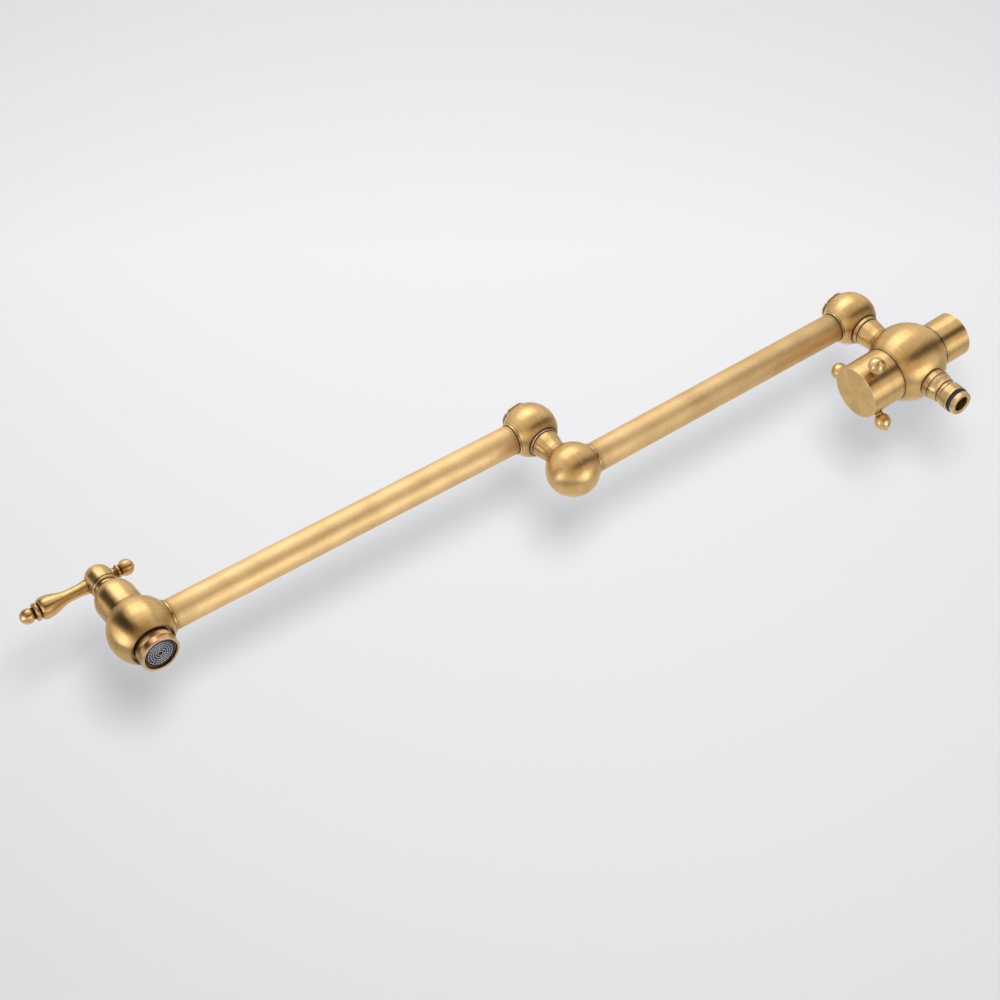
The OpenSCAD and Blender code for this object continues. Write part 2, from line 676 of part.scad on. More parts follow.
// Spout cartridge
module spout_cartridge()
    color(bright_brass) to_spout() difference() {
        union() {
            translate([0, 0, spout_seat + spout_seal_t])
                cylinder(r = spout_shell_r, h = spout_top - spout_seat - spout_seal_t);
            translate([0, 0, spout_flange_low]) cylinder(r = spout_cartridge_r, h = spout_top - spout_flange_low);
            translate([0, 0, spout_top]) cylinder(r = spout_hex_r, h = spout_hex_h, $fn = 6);
            translate([0, 0, spout_top]) cylinder(r = spout_neck_r, h = bonnet_bore_top - spout_top);
        }
        translate([0, 0, spout_seat]) cylinder(r = spout_disc_r + seat_gap, h = spout_roof - spout_seat);
        translate([0, 0, spout_seat]) cylinder(r = spindle_r + spin_gap, h = lever_rise);
        for (turn = [0, 90])
            rotate([0, 0, turn]) translate([0, 0, 5]) rotate([90, 0, 0])
                cylinder(r = 1.8, h = spout_ball_d, center = true);
    }

module spout_seat_seal()
    color(rubber) to_spout() ring(spout_shell_r, waterway_r + 0.4, spout_seat, spout_seat + spout_seal_t);

module spout_fixed_disc()
    color(ceramic) to_spout() port_disc(spout_disc_r, spout_seat + spout_seal_t, spout_disc_t, 1.8);

module spout_moving_disc()
    color(ceramic) to_spout()
        port_disc(spout_disc_r - 0.3, spout_seat + spout_seal_t + spout_disc_t + spin_gap, spout_disc_t, 1.8);

module spout_spindle() {
    foot = spout_seat + spout_seal_t + 2 * spout_disc_t + spin_gap;
    color(bright_brass) to_spout() turned([[0, foot], [spout_disc_r - 1, foot],
        [spout_disc_r - 1, foot + spindle_foot_t], [spindle_r + spindle_rim, foot + spindle_foot_t],
        [spindle_r + spindle_rim, spout_roof - free_gap], [spindle_r, spout_roof - free_gap],
        [spindle_r, spout_spindle_top], [0, spout_spindle_top]]);
}

// Bonnet with a rounded shoulder and a ringed neck
module spout_bonnet()
    color(brass) to_spout() difference() {
        turned(concat(
            [[0, spout_top], [bonnet_r - 0.3, spout_top], [bonnet_r, spout_top + 0.3]],
            shoulder(bonnet_neck_d / 2 - 3, bonnet_wall_top, bonnet_r - bonnet_neck_d / 2 + 3,
                bonnet_neck_low - bonnet_wall_top + 0.8, 68),
            [[bonnet_neck_d / 2, bonnet_neck_low], [bonnet_neck_d / 2, bonnet_neck_low + 0.8],
                [bonnet_neck_d / 2 + 0.3, bonnet_neck_low + 1], [bonnet_neck_d / 2 + 0.3, bonnet_top - 0.5],
                [bonnet_neck_d / 2, bonnet_top], [0, bonnet_top]]));
        translate([0, 0, spout_top - cut]) cylinder(r = bonnet_cavity_r, h = bonnet_wall_h - 0.5 + cut);
        translate([0, 0, spout_top]) cylinder(r = spout_neck_r + seat_gap, h = bonnet_bore_top - spout_top);
        translate([0, 0, spout_top]) cylinder(r = spindle_r + free_gap, h = bonnet_top);
    }

// Handle hub with a domed top and flats for the lever and the finial
module handle_hub()
    color(brass) to_spout() difference() {
        turned(concat(
            [[0, hub_base], [hub_r - 0.8, hub_base], [hub_r - 0.3, hub_base + 0.4], [hub_r - 0.3, hub_base + 1.4],
                [hub_r, hub_base + 1.8]],
            shoulder(0, lever_rise + 0.5, hub_r, hub_dome_h - 0.5, 90, 16)));
        translate([0, 0, hub_base - cut]) cylinder(r = spindle_r + seat_gap, h = spout_spindle_top - hub_base + cut);
        translate([0, 0, lever_rise]) outward() {
            translate([0, 0, spindle_r]) cylinder(r = lever_shank_r + seat_gap, h = hub_r);
            translate([0, 0, spotface]) cylinder(r = lever_root_r, h = hub_r);
        }
        translate([0, 0, lever_rise]) wallward() {
            translate([0, 0, spindle_r]) cylinder(r = finial_shank_r + seat_gap, h = hub_r);
            translate([0, 0, spotface]) cylinder(r = finial_root_r, h = hub_r);
        }
    }

// Lever, drawn along its axis from the spindle outwards
lever_shank_r = 2.5;
lever_root_r = 4.5;
lever_ball_r = lever_ball_d / 2;
lever_collar_r = lever_collar_d / 2;
lever_collar_w = 2.6;
lever_collar_at = lever_l - 5.6;
lever_swell_at = lever_l - 11.3;
lever_end_at = lever_collar_at - lever_collar_w / 2 - 0.7;
lever_neck_r = 3.6;
lever_neck_angle = asin(lever_neck_r / lever_ball_r);

module lever()
    color(brass) to_spout() translate([0, 0, lever_rise]) outward() turned(concat(
        [[0, spindle_r + 0.6], [lever_shank_r, spindle_r + 0.6], [lever_shank_r, spotface],
            [lever_root_r, spotface], [lever_root_r, spotface + 0.6]],
        swell(lever_root_r - 0.1, lever_waist_d / 2, spotface + 0.6, spotface + 6, 6),
        swell(lever_waist_d / 2, lever_swell_d / 2, lever_l - lever_taper_l, lever_swell_at, 14),
        shoulder(lever_collar_r - 1.2, lever_swell_at + 0.3, lever_swell_d / 2 - lever_collar_r + 1.2,
            lever_end_at - lever_swell_at - 0.3, 75, 6),
        [[lever_collar_r - 1.2, lever_end_at], [lever_collar_r - 1.2, lever_end_at + 0.7]],
        arc(lever_collar_r - lever_collar_w / 2, lever_collar_at, lever_collar_w / 2, -80, 80, 8),
        [[lever_neck_r, lever_collar_at + lever_collar_w / 2 + 0.1]],
        arc(0, lever_l, lever_ball_r, lever_neck_angle - 90, 90, 16)));

// Finial, drawn along its axis from the spindle towards the wall
finial_shank_r = 2;
finial_root_r = 3.4;
finial_ring_r = 4.2;
finial_ring_w = 1.1;
finial_neck_r = 3.1;
finial_r = finial_d / 2;
finial_ring_at = finial_reach - finial_r + 0.6;
finial_neck_angle = asin(finial_neck_r / finial_r);

module lever_finial()
    color(brass) to_spout() translate([0, 0, lever_rise]) wallward() turned(concat(
        [[0, spindle_r + seat_gap], [finial_shank_r, spindle_r + seat_gap], [finial_shank_r, spotface],
            [finial_root_r, spotface], [finial_root_r, spotface + 0.8], [finial_neck_r, spotface + 1],
            [finial_neck_r, finial_ring_at - 2 * finial_ring_w]],
        arc(finial_ring_r - finial_ring_w, finial_ring_at - finial_ring_w, finial_ring_w, -80, 80, 6),
        arc(0, finial_reach, finial_r, finial_neck_angle - 90, 90, 16)));

// Aerator, drawn with its height measured down from the spout ball's centre
module aerator_seal()
    color(rubber) to_spout() downward()
        ring(aerator_thread_r - 0.1, waterway_r + 2, outlet_seat, aerator_top);

module aerator_housing()
    color(bright_brass) to_spout() downward() difference() {
        turned([[0, aerator_top], [aerator_thread_r, aerator_top],
            [aerator_thread_r, spout_low - outlet_counterbore], [aerator_r, spout_low - outlet_counterbore],
            [aerator_r, aerator_drop - 0.5], [aerator_r - 0.5, aerator_drop], [0, aerator_drop]]);
        translate([0, 0, aerator_top - cut]) cylinder(r = insert_r - 1.6, h = aerator_drop);
        translate([0, 0, aerator_top + aerator_shelf_t]) cylinder(r = insert_r + seat_gap, h = aerator_drop);
        translate([0, 0, aerator_drop - mouth_relief]) cylinder(r = insert_r + mouth_gap, h = aerator_drop);
        for (side = [0, 180])
            rotate([0, 0, side - key_flat_turn])
                translate([aerator_r - key_flat_depth, -aerator_r, aerator_drop - key_flat_h])
                    cube([aerator_r, aerator_d, key_flat_h + cut]);
    }

module aerator_insert() {
    face = aerator_drop - insert_recess;
    color(plastic) to_spout() downward() {
        difference() {
            turned([[0, aerator_top + aerator_shelf_t], [insert_r, aerator_top + aerator_shelf_t],
                [insert_r, face - insert_step_h], [insert_r - insert_step, face - insert_step_h],
                [insert_r - insert_step, face], [0, face]]);
            translate([0, 0, aerator_top]) cylinder(r = insert_bore_r, h = aerator_drop);
        }
        for (i = [1:grille_rings])
            ring(grille_radius(i) + grille_bar / 2, grille_radius(i) - grille_bar / 2, face - grille_t, face);
        for (i = [0:grille_spokes - 1])
            rotate([0, 0, i * 360 / grille_spokes])
                translate([spoke_start(i), -grille_bar / 2, face - grille_t])
                    cube([insert_bore_r + insert_step - spoke_start(i), grille_bar, grille_t]);
    }
}

function grille_radius(i) = insert_bore_r * i / (grille_rings + 0.7);

function spoke_start(i) = grille_radius(i % 4 == 0 ? 1 : i % 2 == 0 ? 2 : 3);

valve_body();
inlet_sleeve();
inlet_washer();
hose_nipple();
nipple_gasket();
nipple_o_ring();
diverter_housing();
diverter_fixed_disc();
diverter_seat_seal();
riser_spigot();
riser_o_rings();
riser_washer();
riser_nut();
diverter_knob();
knob_studs();
knob_grub_screw();
diverter_spindle();
diverter_moving_disc();
inner_ball();
inner_bush();
inner_cap();
inner_cap_gasket();
inner_tube();
elbow_ball();
elbow_spigot();
elbow_o_rings();
elbow_washer();
elbow_nut();
outer_ball();
outer_bush();
outer_cap();
outer_cap_gasket();
outer_tube();
spout_ball();
spout_cartridge();
spout_fixed_disc();
spout_seat_seal();
spout_bonnet();
aerator_seal();
aerator_housing();
aerator_insert();
handle_hub();
lever();
lever_finial();
spout_spindle();
spout_moving_disc();
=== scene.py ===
# Folding wall tap in antique brass, dressed for the photograph's view.
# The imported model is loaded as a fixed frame. The turned pieces that show are made again here
# with rounded edges, and everything inside keeps its solid and gets a finish.
# Sizes are in millimetres, as in the part's source, and meshes are in metres.

import math

import bmesh
import bpy
from mathutils import Matrix, Vector


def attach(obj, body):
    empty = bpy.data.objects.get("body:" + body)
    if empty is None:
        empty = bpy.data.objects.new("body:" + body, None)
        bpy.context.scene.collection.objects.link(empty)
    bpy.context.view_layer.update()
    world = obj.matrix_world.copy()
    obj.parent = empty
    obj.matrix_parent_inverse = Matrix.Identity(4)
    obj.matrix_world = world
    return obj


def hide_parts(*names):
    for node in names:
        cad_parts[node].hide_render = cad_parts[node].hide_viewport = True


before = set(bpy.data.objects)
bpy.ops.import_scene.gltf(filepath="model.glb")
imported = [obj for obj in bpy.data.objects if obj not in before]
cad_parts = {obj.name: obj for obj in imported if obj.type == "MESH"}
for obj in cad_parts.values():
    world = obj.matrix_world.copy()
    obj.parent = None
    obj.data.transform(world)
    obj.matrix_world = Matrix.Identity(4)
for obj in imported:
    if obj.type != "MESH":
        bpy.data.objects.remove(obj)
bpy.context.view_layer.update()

scene = bpy.context.scene
MM = 0.001

# Sizes of the valve body and its sleeve
body_r = 25.0
wall_offset = 41.0
body_front = 17.655
body_front_r = 17.7
body_rear = 20.0
body_rear_r = 15.0
body_top = 22.999
body_low = 22.913
sleeve_r = 14.5
sleeve_chamfer = 0.6
sleeve_stub_r = 9.5
stub_l = 5.0
seat_gap = 0.05
waterway_r = 4.8
inlet_r = 9.3
inlet_depth = 11.0
inlet_chamfer = 0.9
thread_pitch = 1.814
thread_h = 1.16
thread_gap = 0.3
thread_run_in = 1.5
thread_steps = 66
relief_r = 10.5
relief_l = 2.6
diverter_r = 11.05
diverter_back = -8.3

# Sizes of the diverter knob and its studs
knob_r = 17.75
knob_rim = 17.955
knob_reach = 43.3
knob_edge = 0.4
knob_bore_r = 15.25
knob_floor = 39.8
knob_boss_r = 7.5
knob_boss_low = 25.66
knob_hole_r = 4.05
spindle_top = 37.8
knob_turn = -18.0
grub_offset = 3.0
stud_count = 3
stud_axis = 34.3
stud_centre = 24.75
stud_ball_r = 5.5
stud_point = 1.1
stud_tip_r = 0.35
stud_tip_h = 0.1
stud_stem_r = 2.6
stud_shank_r = 2.0

# Sizes of the hose nipple, down from the body's centre
nipple_base = 23.513
nipple_tip = 49.213
nipple_base_r = 9.7
nipple_base_h = 3.9
nipple_taper_r = 8.6
nipple_taper_end = 33.4
nipple_step = 34.1
nipple_step_end = 36.5
nipple_step_r = 7.8
nipple_collar = 37.0
nipple_collar_end = 43.6
nipple_collar_r = 8.7
nipple_ring_end = 46.3
nipple_ring_r = 6.25
nipple_tip_r = 8.0
nipple_tip_edge = 0.5
nipple_bore_r = 5.2
nipple_inner_r = 4.2

# Sizes of the swivels and their necks
joint_r = 17.0
joint_face = 13.4
joint_face_r = 10.46
joint_gap = 0.3
bush_r = 9.05
ledge_r = 7.6
ledge_low = -6.7
ledge_high = -5.2
cap_seat = 13.961
cap_r = 9.7
cap_land = 1.25
cap_plug_h = 3.5
cap_plug_wall = 2.0
chamber_r = 8.6
gasket_t = 0.6
cap_t = 1.5
cap_notches = 4
notch_w = 2.2
notch_depth = 1.2
riser_rise = 53.0
elbow_rise = 43.5
elbow_foot = 14.545
pin_r = 7.0
pin_bore_r = 4.0
pin_top_drop = 1.15
pin_groove_drops = (11.6, 8.6)
pin_groove_depth = 1.75
pin_groove_half = 1.0
neck_step = 0.4
neck_groove_h = 0.6

# Sizes of the arms, and their swings in the photograph
inner_arm_l = 225.0
outer_arm_l = 275.0
tube_r = 9.5
tube_bore_r = 8.3
collar_r = 10.4
collar_h = 1.1
socket_floor = 10.5
inner_swing = 2.5
outer_swing = 1.1

# Sizes of the spout valve
spout_r = 20.0
spout_top = 15.199
spout_low = 14.476
spout_socket = 13.0
spout_chamber_r = 9.55
spout_chamber_low = -4.0
outlet_r = 13.8
outlet_bore_r = 13.4
outlet_depth = 2.4
outlet_floor = -8.0
bonnet_r = 13.0
bonnet_wall_top = 28.0
bonnet_neck_r = 6.9
bonnet_neck_low = 38.1
bonnet_inset = 3.0
bonnet_ring = 0.3
bonnet_top = 40.7
bonnet_bore_r = 11.4
bonnet_bore_top = 27.5
bonnet_stem_r = 6.55
bonnet_stem_top = 33.5
bonnet_hole_r = 4.4
lever_rise = 48.0
hub_base = 41.0
hub_r = 8.8
hub_dome_h = 9.8
hub_hole_r = 4.05
hub_hole_h = 2.0

# Sizes of the lever and the finial, out from the hub's axis
lever_l = 47.0
lever_ball_r = 4.7
lever_swell_r = 6.9
lever_waist_r = 3.8
lever_waist = 14.0
lever_root_r = 4.5
lever_root = 8.0
lever_root_w = 0.6
lever_shank_r = 2.5
lever_shank = 4.6
lever_end_r = 4.5
lever_neck_r = 3.6
lever_collar = lever_l - 5.6
lever_collar_ring_r = 1.3
lever_swell_start = lever_l - 27
lever_swell = lever_l - 11.3
lever_end = lever_collar - 2.0
finial_reach = 17.0
finial_r = 5.0
finial_ring = finial_reach - finial_r + 0.6
finial_ring_r = 4.2
finial_ring_w = 1.1
finial_neck_r = 3.1
finial_neck = 9.0
finial_foot_r = 3.4
finial_shank_r = 2.0

# Sizes of the aerator, down from the spout ball's centre
aerator_r = 12.15
aerator_thread_r = 12.0
aerator_top = 9.5
aerator_drop = 22.8
aerator_passage_r = 8.3
insert_top = 11.0
insert_r = 9.9
insert_recess = 0.9
insert_bore_r = 8.7
insert_step = 0.4
insert_step_h = 1.2
mouth_gap = 0.6
mouth_relief = 1.6
rib_count = 72
rib_h = 0.3
rib_start = 13.6
grille_rings = 5
grille_spokes = 24
grille_bar = 0.5
grille_crest = 0.14
grille_t = 1.6
key_flat_depth = 0.7
key_flat_h = 3.6
key_flat_turn = 18.0
grille_face = aerator_drop - insert_recess

# How corners are rounded and how long stretches of an outline are divided
sharp_turn = math.radians(24)
widest_turn = 2.6
corner_share = 0.42
corner_steps = 4
corner_margin = 0.15
shortest_filled = 1.2
end_marks = (0.4, 1.0, 2.0, 4.0, 8.0)
dark_marks = (-1.6, -0.8, -0.4, -0.15, 0, 0.15, 0.4, 0.8, 1.6)
dark_beside = 0.3
least_gap = 0.05
hollow_reach = 0.8
lathe_l = 40
crease = math.radians(35)


# Places and directions
def move(x, y, z):
    return Matrix.Translation((x * MM, y * MM, z * MM))


def about(axis, degrees):
    return Matrix.Rotation(math.radians(degrees), 4, axis)


outward = about("X", 90)
wallward = about("X", -90)
downward = about("X", 180)
at_body = move(0, -wall_offset, 0)
at_inner_joint = at_body @ move(0, 0, riser_rise) @ about("Z", inner_swing)
at_elbow = at_inner_joint @ move(0, -inner_arm_l, 0)
at_outer_joint = at_elbow @ move(0, 0, elbow_rise) @ about("Z", outer_swing)
at_spout = at_outer_joint @ move(0, -outer_arm_l, 0)
at_lever = at_spout @ move(0, 0, lever_rise)
at_front = at_body @ outward
at_outlet = at_spout @ downward


# Outlines: lists of (radius, height) points, with an edge rounding as a third number where it matters.
# Piece by piece, what a turned call gives after its finish is the number of sides and the rounding.
def arc(cx, cy, r, start, end, steps):
    angles = [math.radians(start + (end - start) * i / steps) for i in range(steps + 1)]
    return [(cx + r * math.cos(a), cy + r * math.sin(a)) for a in angles]


def shoulder(cx, cy, rx, ry, end, steps):
    """Part of an ellipse, from its side up to end degrees."""
    angles = [math.radians(end * i / steps) for i in range(steps + 1)]
    return [(cx + rx * math.cos(a), cy + ry * math.sin(a)) for a in angles]


def swell(r0, r1, z0, z1, steps):
    """A smooth change from one radius to another."""
    return [(r0 + (r1 - r0) * (1 - math.cos(math.pi * i / steps)) / 2, z0 + (z1 - z0) * i / steps)
            for i in range(steps + 1)]


def groove(r, low, high, depth, slope=0.0):
    """A groove cut into a radius between two heights."""
    return [(r, low), (r - depth, low + slope), (r - depth, high - slope), (r, high)]


def ball_on_neck(centre, ball_r, neck_r, end=90):
    """Outside of a ball from the neck that it stands on."""
    return arc(0, centre, ball_r, math.degrees(math.asin(neck_r / ball_r)) - 90, end, 24)


def sphere_side(r, low, high, steps=40):
    """Outside of a ball down from its high flat to its low flat, both measured from its centre."""
    start = math.degrees(math.asin(max(-1, -low / r)))
    end = math.degrees(math.asin(min(1, high / r)))
    return arc(0, 0, r, start, end, steps)[::-1]


def stairs(r, z, *changes, height_first=False):
    """Square steps from a first point, with a new radius and a new height by turns."""
    points = [(r, z)]
    for i, change in enumerate(changes):
        if (i % 2 == 1) != height_first:
            z = change
        else:
            r = change
        points.append((r, z))
    return points


def softened(outline, closed, edge):
    """The outline with its sharp corners rounded, and how worn and how hollow each point is."""
    count = len(outline)
    points = []
    for i, corner in enumerate(outline):
        here = Vector(corner[:2])
        radius = corner[2] if len(corner) > 2 else edge
        at_end = not closed and i in (0, count - 1)
        before = Vector(outline[i - 1][:2])
        after = Vector(outline[(i + 1) % count][:2])
        into = here - before
        out = after - here
        if at_end or into.length < 1e-6 or out.length < 1e-6:
            points.append((here, 0, 0))
            continue
        turn = into.angle_signed(out)
        if abs(turn) < sharp_turn or radius <= 0:
            points.append((here, 0, 0))
            continue
        reach = min(
            radius * math.tan(min(abs(turn), widest_turn) / 2), corner_share * into.length,
            corner_share * out.length)
        hollow = 1.0 if turn > 0 else 0.0
        start = here - into.normalized() * reach
        end = here + out.normalized() * reach
        points.append((start - into.normalized() * reach * corner_margin, (1 - hollow) * 0.5, hollow))
        for step in range(corner_steps + 1):
            t = step / corner_steps
            bent = start * (1 - t) ** 2 + here * 2 * t * (1 - t) + end * t ** 2
            points.append((bent, 1 - hollow, hollow))
        points.append((end + out.normalized() * reach * corner_margin, (1 - hollow) * 0.5, hollow))
    return points


def filled(points, closed, longest, dark):
    """The same outline with points added on its long stretches, closer together near ends and dark rings."""
    full = []
    count = len(points)
    for i in range(count):
        here, worn, hollow = points[i]
        full.append((here, worn, hollow))
        if i == count - 1 and not closed:
            break
        after = points[(i + 1) % count][0]
        length = (after - here).length
        if length < shortest_filled:
            continue
        steps = [d for d in end_marks if d < length / 2 and d < longest]
        middle = max(1, math.ceil((length - 2 * steps[-1]) / longest))
        marks = steps + [length - d for d in steps]
        marks += [steps[-1] + (length - 2 * steps[-1]) * k / middle for k in range(1, middle)]
        along = (after - here) / length
        for dark_r, dark_h, reach in dark:
            away = Vector((dark_r, dark_h)) - here
            at = away.dot(along)
            if (away - along * at).length < dark_beside:
                marks += [at + reach * mark for mark in dark_marks]
        last = 0.0
        for d in sorted(marks):
            if last + least_gap < d < length - least_gap:
                full.append((here.lerp(after, d / length), 0, 0))
                last = d
    return full


def outline_area(outline):
    total = 0
    for i in range(len(outline)):
        r0, z0 = outline[i - 1][:2]
        r1, z1 = outline[i][:2]
        total += r0 * z1 - r1 * z0
    return total / 2


def turned(name, outline, place, finish, rounds=96, edge=0.2, longest=4.0, dark=(), shape=None):
    """A piece turned on a lathe about its own Z axis and set in its place.

    dark lists (radius, height, reach) rings painted darker, as painted shade at joins and as patina,
    and shape gives the radius at (radius, height, angle) for a thread, ribs, slots or notches.
    """
    if outline_area(outline) < 0:
        outline = list(reversed(outline))
    closed = not (outline[0][0] == 0 and outline[-1][0] == 0)
    profile = filled(softened(outline, closed, edge), closed, longest, dark)
    lengths = [0.0]
    for i in range(1, len(profile)):
        lengths.append(lengths[-1] + (profile[i][0] - profile[i - 1][0]).length)
    hollows = [lengths[i] for i in range(len(profile)) if profile[i][2] > 0]

    points = []
    grain = []
    shade_and_tarnish = []
    wear = []
    rings = []
    for i, (at, worn, hollow) in enumerate(profile):
        # Painted shade and patina: each point is darker near the outline's hollows and the dark rings
        nearest = min([abs(lengths[i] - h) for h in hollows], default=99)
        shade = math.exp(-nearest / hollow_reach)
        for dark_r, dark_h, reach in dark:
            shade = max(shade, math.exp(-math.hypot(at.x - dark_r, at.y - dark_h) / reach))
        steps = 1 if at.x < 1e-6 else rounds
        rings.append((len(points), steps))
        for k in range(steps):
            angle = 2 * math.pi * k / rounds
            r = at.x
            if shape is not None and steps > 1:
                r = shape(at.x, at.y, angle)
            points.append(Vector((r * math.cos(angle), r * math.sin(angle), at.y)) * MM)
            if steps > 1:
                grain.append((math.cos(angle), math.sin(angle), lengths[i]))
            else:
                grain.append((0, 0, lengths[i]))
            shade_and_tarnish.append(shade)
            wear.append(worn)

    faces = []
    turns = []
    pairs = [(i, i + 1) for i in range(len(rings) - 1)]
    if closed:
        pairs.append((len(rings) - 1, 0))
    for low, high in pairs:
        a, a_steps = rings[low]
        b, b_steps = rings[high]
        for k in range(rounds):
            n = (k + 1) % rounds
            if a_steps == 1 and b_steps == 1:
                continue
            if a_steps == 1:
                faces.append((a, b + n, b + k))
                turns.append((k + 0.5, k + 1, k))
            elif b_steps == 1:
                faces.append((a + k, a + n, b))
                turns.append((k, k + 1, k + 0.5))
            else:
                faces.append((a + k, a + n, b + n, b + k))
                turns.append((k, k + 1, k + 1, k))

    mesh = bpy.data.meshes.new(name)
    mesh.from_pydata(points, [], faces)
    flat_grain = [value for vector in grain for value in vector]
    mesh.attributes.new("grain", "FLOAT_VECTOR", "POINT").data.foreach_set("vector", flat_grain)
    mesh.attributes.new("shade_and_tarnish", "FLOAT", "POINT").data.foreach_set("value", shade_and_tarnish)
    mesh.attributes.new("wear", "FLOAT", "POINT").data.foreach_set("value", wear)
    around = [turn / rounds for face_turns in turns for turn in face_turns]
    along = [grain[index][2] / lathe_l for face in faces for index in face]
    mesh.uv_layers.new(name="lathe").data.foreach_set("uv", [c for pair in zip(around, along) for c in pair])
    mesh.materials.append(finish)
    mesh.transform(place)
    mesh.shade_smooth()
    mesh.set_sharp_from_angle(angle=crease)
    mesh.update()
    made = bpy.data.objects.new(name, mesh)
    scene.collection.objects.link(made)
    return made


def brushed_round(ball, centre, axis):
    """Gives a ball fine lines that run round another axis than the one its outline was turned on."""
    side = axis.orthogonal().normalized()
    other = axis.cross(side)
    grain = []
    for point in ball.data.vertices:
        away = point.co - centre
        across = Vector((away.dot(side), away.dot(other)))
        if across.length > 1e-6:
            across.normalize()
        grain += [across.x, across.y, away.dot(axis) / MM]
    ball.data.attributes["grain"].data.foreach_set("vector", grain)


def rayed(piece, facing):
    """Gives the flat end of a turned piece fine rays from its middle in place of rings."""
    grain = piece.data.attributes["grain"].data
    for point in piece.data.vertices:
        if point.normal.dot(facing) > 0.9:
            x, y, along = grain[point.index].vector
            grain[point.index].vector = (6 * x, 6 * y, 0.15 * along)


def joined(name, parts):
    """Several meshes made into one piece."""
    first = parts[0]
    if len(parts) > 1:
        with bpy.context.temp_override(active_object=first, selected_editable_objects=parts):
            bpy.ops.object.join()
    first.name = name
    first.data.name = name
    return first


def fitted(piece, body, *nodes, slot="antique_brass"):
    """The piece rides on its body and stands for its CAD nodes; slot is not used."""
    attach(piece, body)
    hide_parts(*nodes)


# Shader nodes
def feed_socket(tree, socket, value):
    if isinstance(value, bpy.types.NodeSocket):
        tree.links.new(value, socket)
    else:
        socket.default_value = value


def feed(tree, node, **values):
    """Gives a node's inputs their values or links. _ stands for a space in an input's name."""
    for label, value in values.items():
        feed_socket(tree, node.inputs[label.replace("_", " ")], value)
    return node


def add(tree, kind, family="ShaderNode", **values):
    return feed(tree, tree.nodes.new(family + kind), **values)


def new_group(name, inputs, outputs):
    tree = bpy.data.node_groups.new(name, "ShaderNodeTree")
    for label, kind, value in inputs:
        socket = tree.interface.new_socket(label, in_out="INPUT", socket_type="NodeSocket" + kind)
        socket.default_value = value
    for label, kind in outputs:
        tree.interface.new_socket(label, in_out="OUTPUT", socket_type="NodeSocket" + kind)
    start = tree.nodes.new("NodeGroupInput")
    end = tree.nodes.new("NodeGroupOutput")
    return tree, start.outputs, end


def math_node(tree, operation, first, second):
    node = add(tree, "Math")
    node.operation = operation
    for socket, value in zip(node.inputs, (first, second)):
        feed_socket(tree, socket, value)
    return node.outputs[0]


def colour_mix(tree, factor, first, second):
    """Mix of two colours. The colour sockets of a mix node are its seventh and eighth."""
    node = add(tree, "Mix")
    node.data_type = "RGBA"
    for i, value in ((0, factor), (6, first), (7, second)):
        feed_socket(tree, node.inputs[i], value)
    return node.outputs[2]


def attribute(tree, name):
    node = add(tree, "Attribute")
    node.attribute_name = name
    return node


def mapped(tree, value, low, high, to_low=0.0, to_high=1.0):
    """The value moved from one range to another, and kept inside it."""
    return add(
        tree, "MapRange", Value=value, From_Min=low, From_Max=high, To_Min=to_low, To_Max=to_high).outputs[0]


# Fine lines left by the lathe or the brush, from a turned piece's own grain attribute
turning_lines, given, end = new_group(
    "turning_lines",
    [("Round", "Float", 1.5), ("Along", "Float", 1.6)],
    [("Lines", "Float"), ("Broad", "Float")])
tree = turning_lines
split = add(tree, "SeparateXYZ", Vector=attribute(tree, "grain").outputs["Vector"])
for label, faster in (("Lines", 3.0), ("Broad", 0.6)):
    round_x = math_node(tree, "MULTIPLY", split.outputs[0], given["Round"])
    round_y = math_node(tree, "MULTIPLY", split.outputs[1], given["Round"])
    along = math_node(tree, "MULTIPLY", split.outputs[2], given["Along"])
    join = add(tree, "CombineXYZ", X=round_x, Y=round_y, Z=math_node(tree, "MULTIPLY", along, faster))
    lines = add(tree, "TexNoise", Vector=join.outputs[0], Scale=1.0, Detail=4.0, Roughness=0.7)
    tree.links.new(lines.outputs["Fac"], end.inputs[label])

# Old finish: bright metal that darkens in hollows, with painted shade and patina there, with soft clouds and
# pale worn edges
aged_and_shaded_finish, given, end = new_group(
    "aged_and_shaded_finish",
    [("Bright", "Color", (0.7, 0.5, 0.2, 1)), ("Deep", "Color", (0.2, 0.12, 0.04, 1)),
     ("Worn", "Color", (0.9, 0.7, 0.4, 1)), ("Clouds", "Float", 0.25),
     ("Hollows", "Float", 0.7), ("Lines", "Float", 0.5),
     ("Streaks", "Float", 0.5), ("Grime", "Color", (0.06, 0.022, 0.005, 1))],
    [("Colour", "Color"), ("Dullness", "Float")])
tree = aged_and_shaded_finish
where = add(tree, "TexCoord").outputs["Object"]
clouds = add(tree, "TexNoise", Vector=where, Scale=55.0, Detail=4.0, Roughness=0.6).outputs["Fac"]
specks = add(tree, "TexNoise", Vector=where, Scale=900.0, Detail=2.0, Roughness=0.5).outputs["Fac"]
shade_and_tarnish = attribute(tree, "shade_and_tarnish").outputs["Fac"]
wear = attribute(tree, "wear").outputs["Fac"]
cloudy = math_node(tree, "MULTIPLY", mapped(tree, clouds, 0.35, 0.75), given["Clouds"])
hollow = math_node(tree, "MULTIPLY", shade_and_tarnish, given["Hollows"])
streaks = math_node(tree, "SUBTRACT", given["Lines"], 0.5)
streaks = math_node(tree, "MULTIPLY", streaks, given["Streaks"])
spots = math_node(tree, "MULTIPLY", math_node(tree, "SUBTRACT", specks, 0.5), 0.12)
total = math_node(
    tree, "ADD", math_node(tree, "ADD", cloudy, hollow), math_node(tree, "ADD", streaks, spots))
darkness = add(tree, "Clamp", Value=total).outputs[0]
coloured = colour_mix(tree, darkness, given["Bright"], given["Deep"])
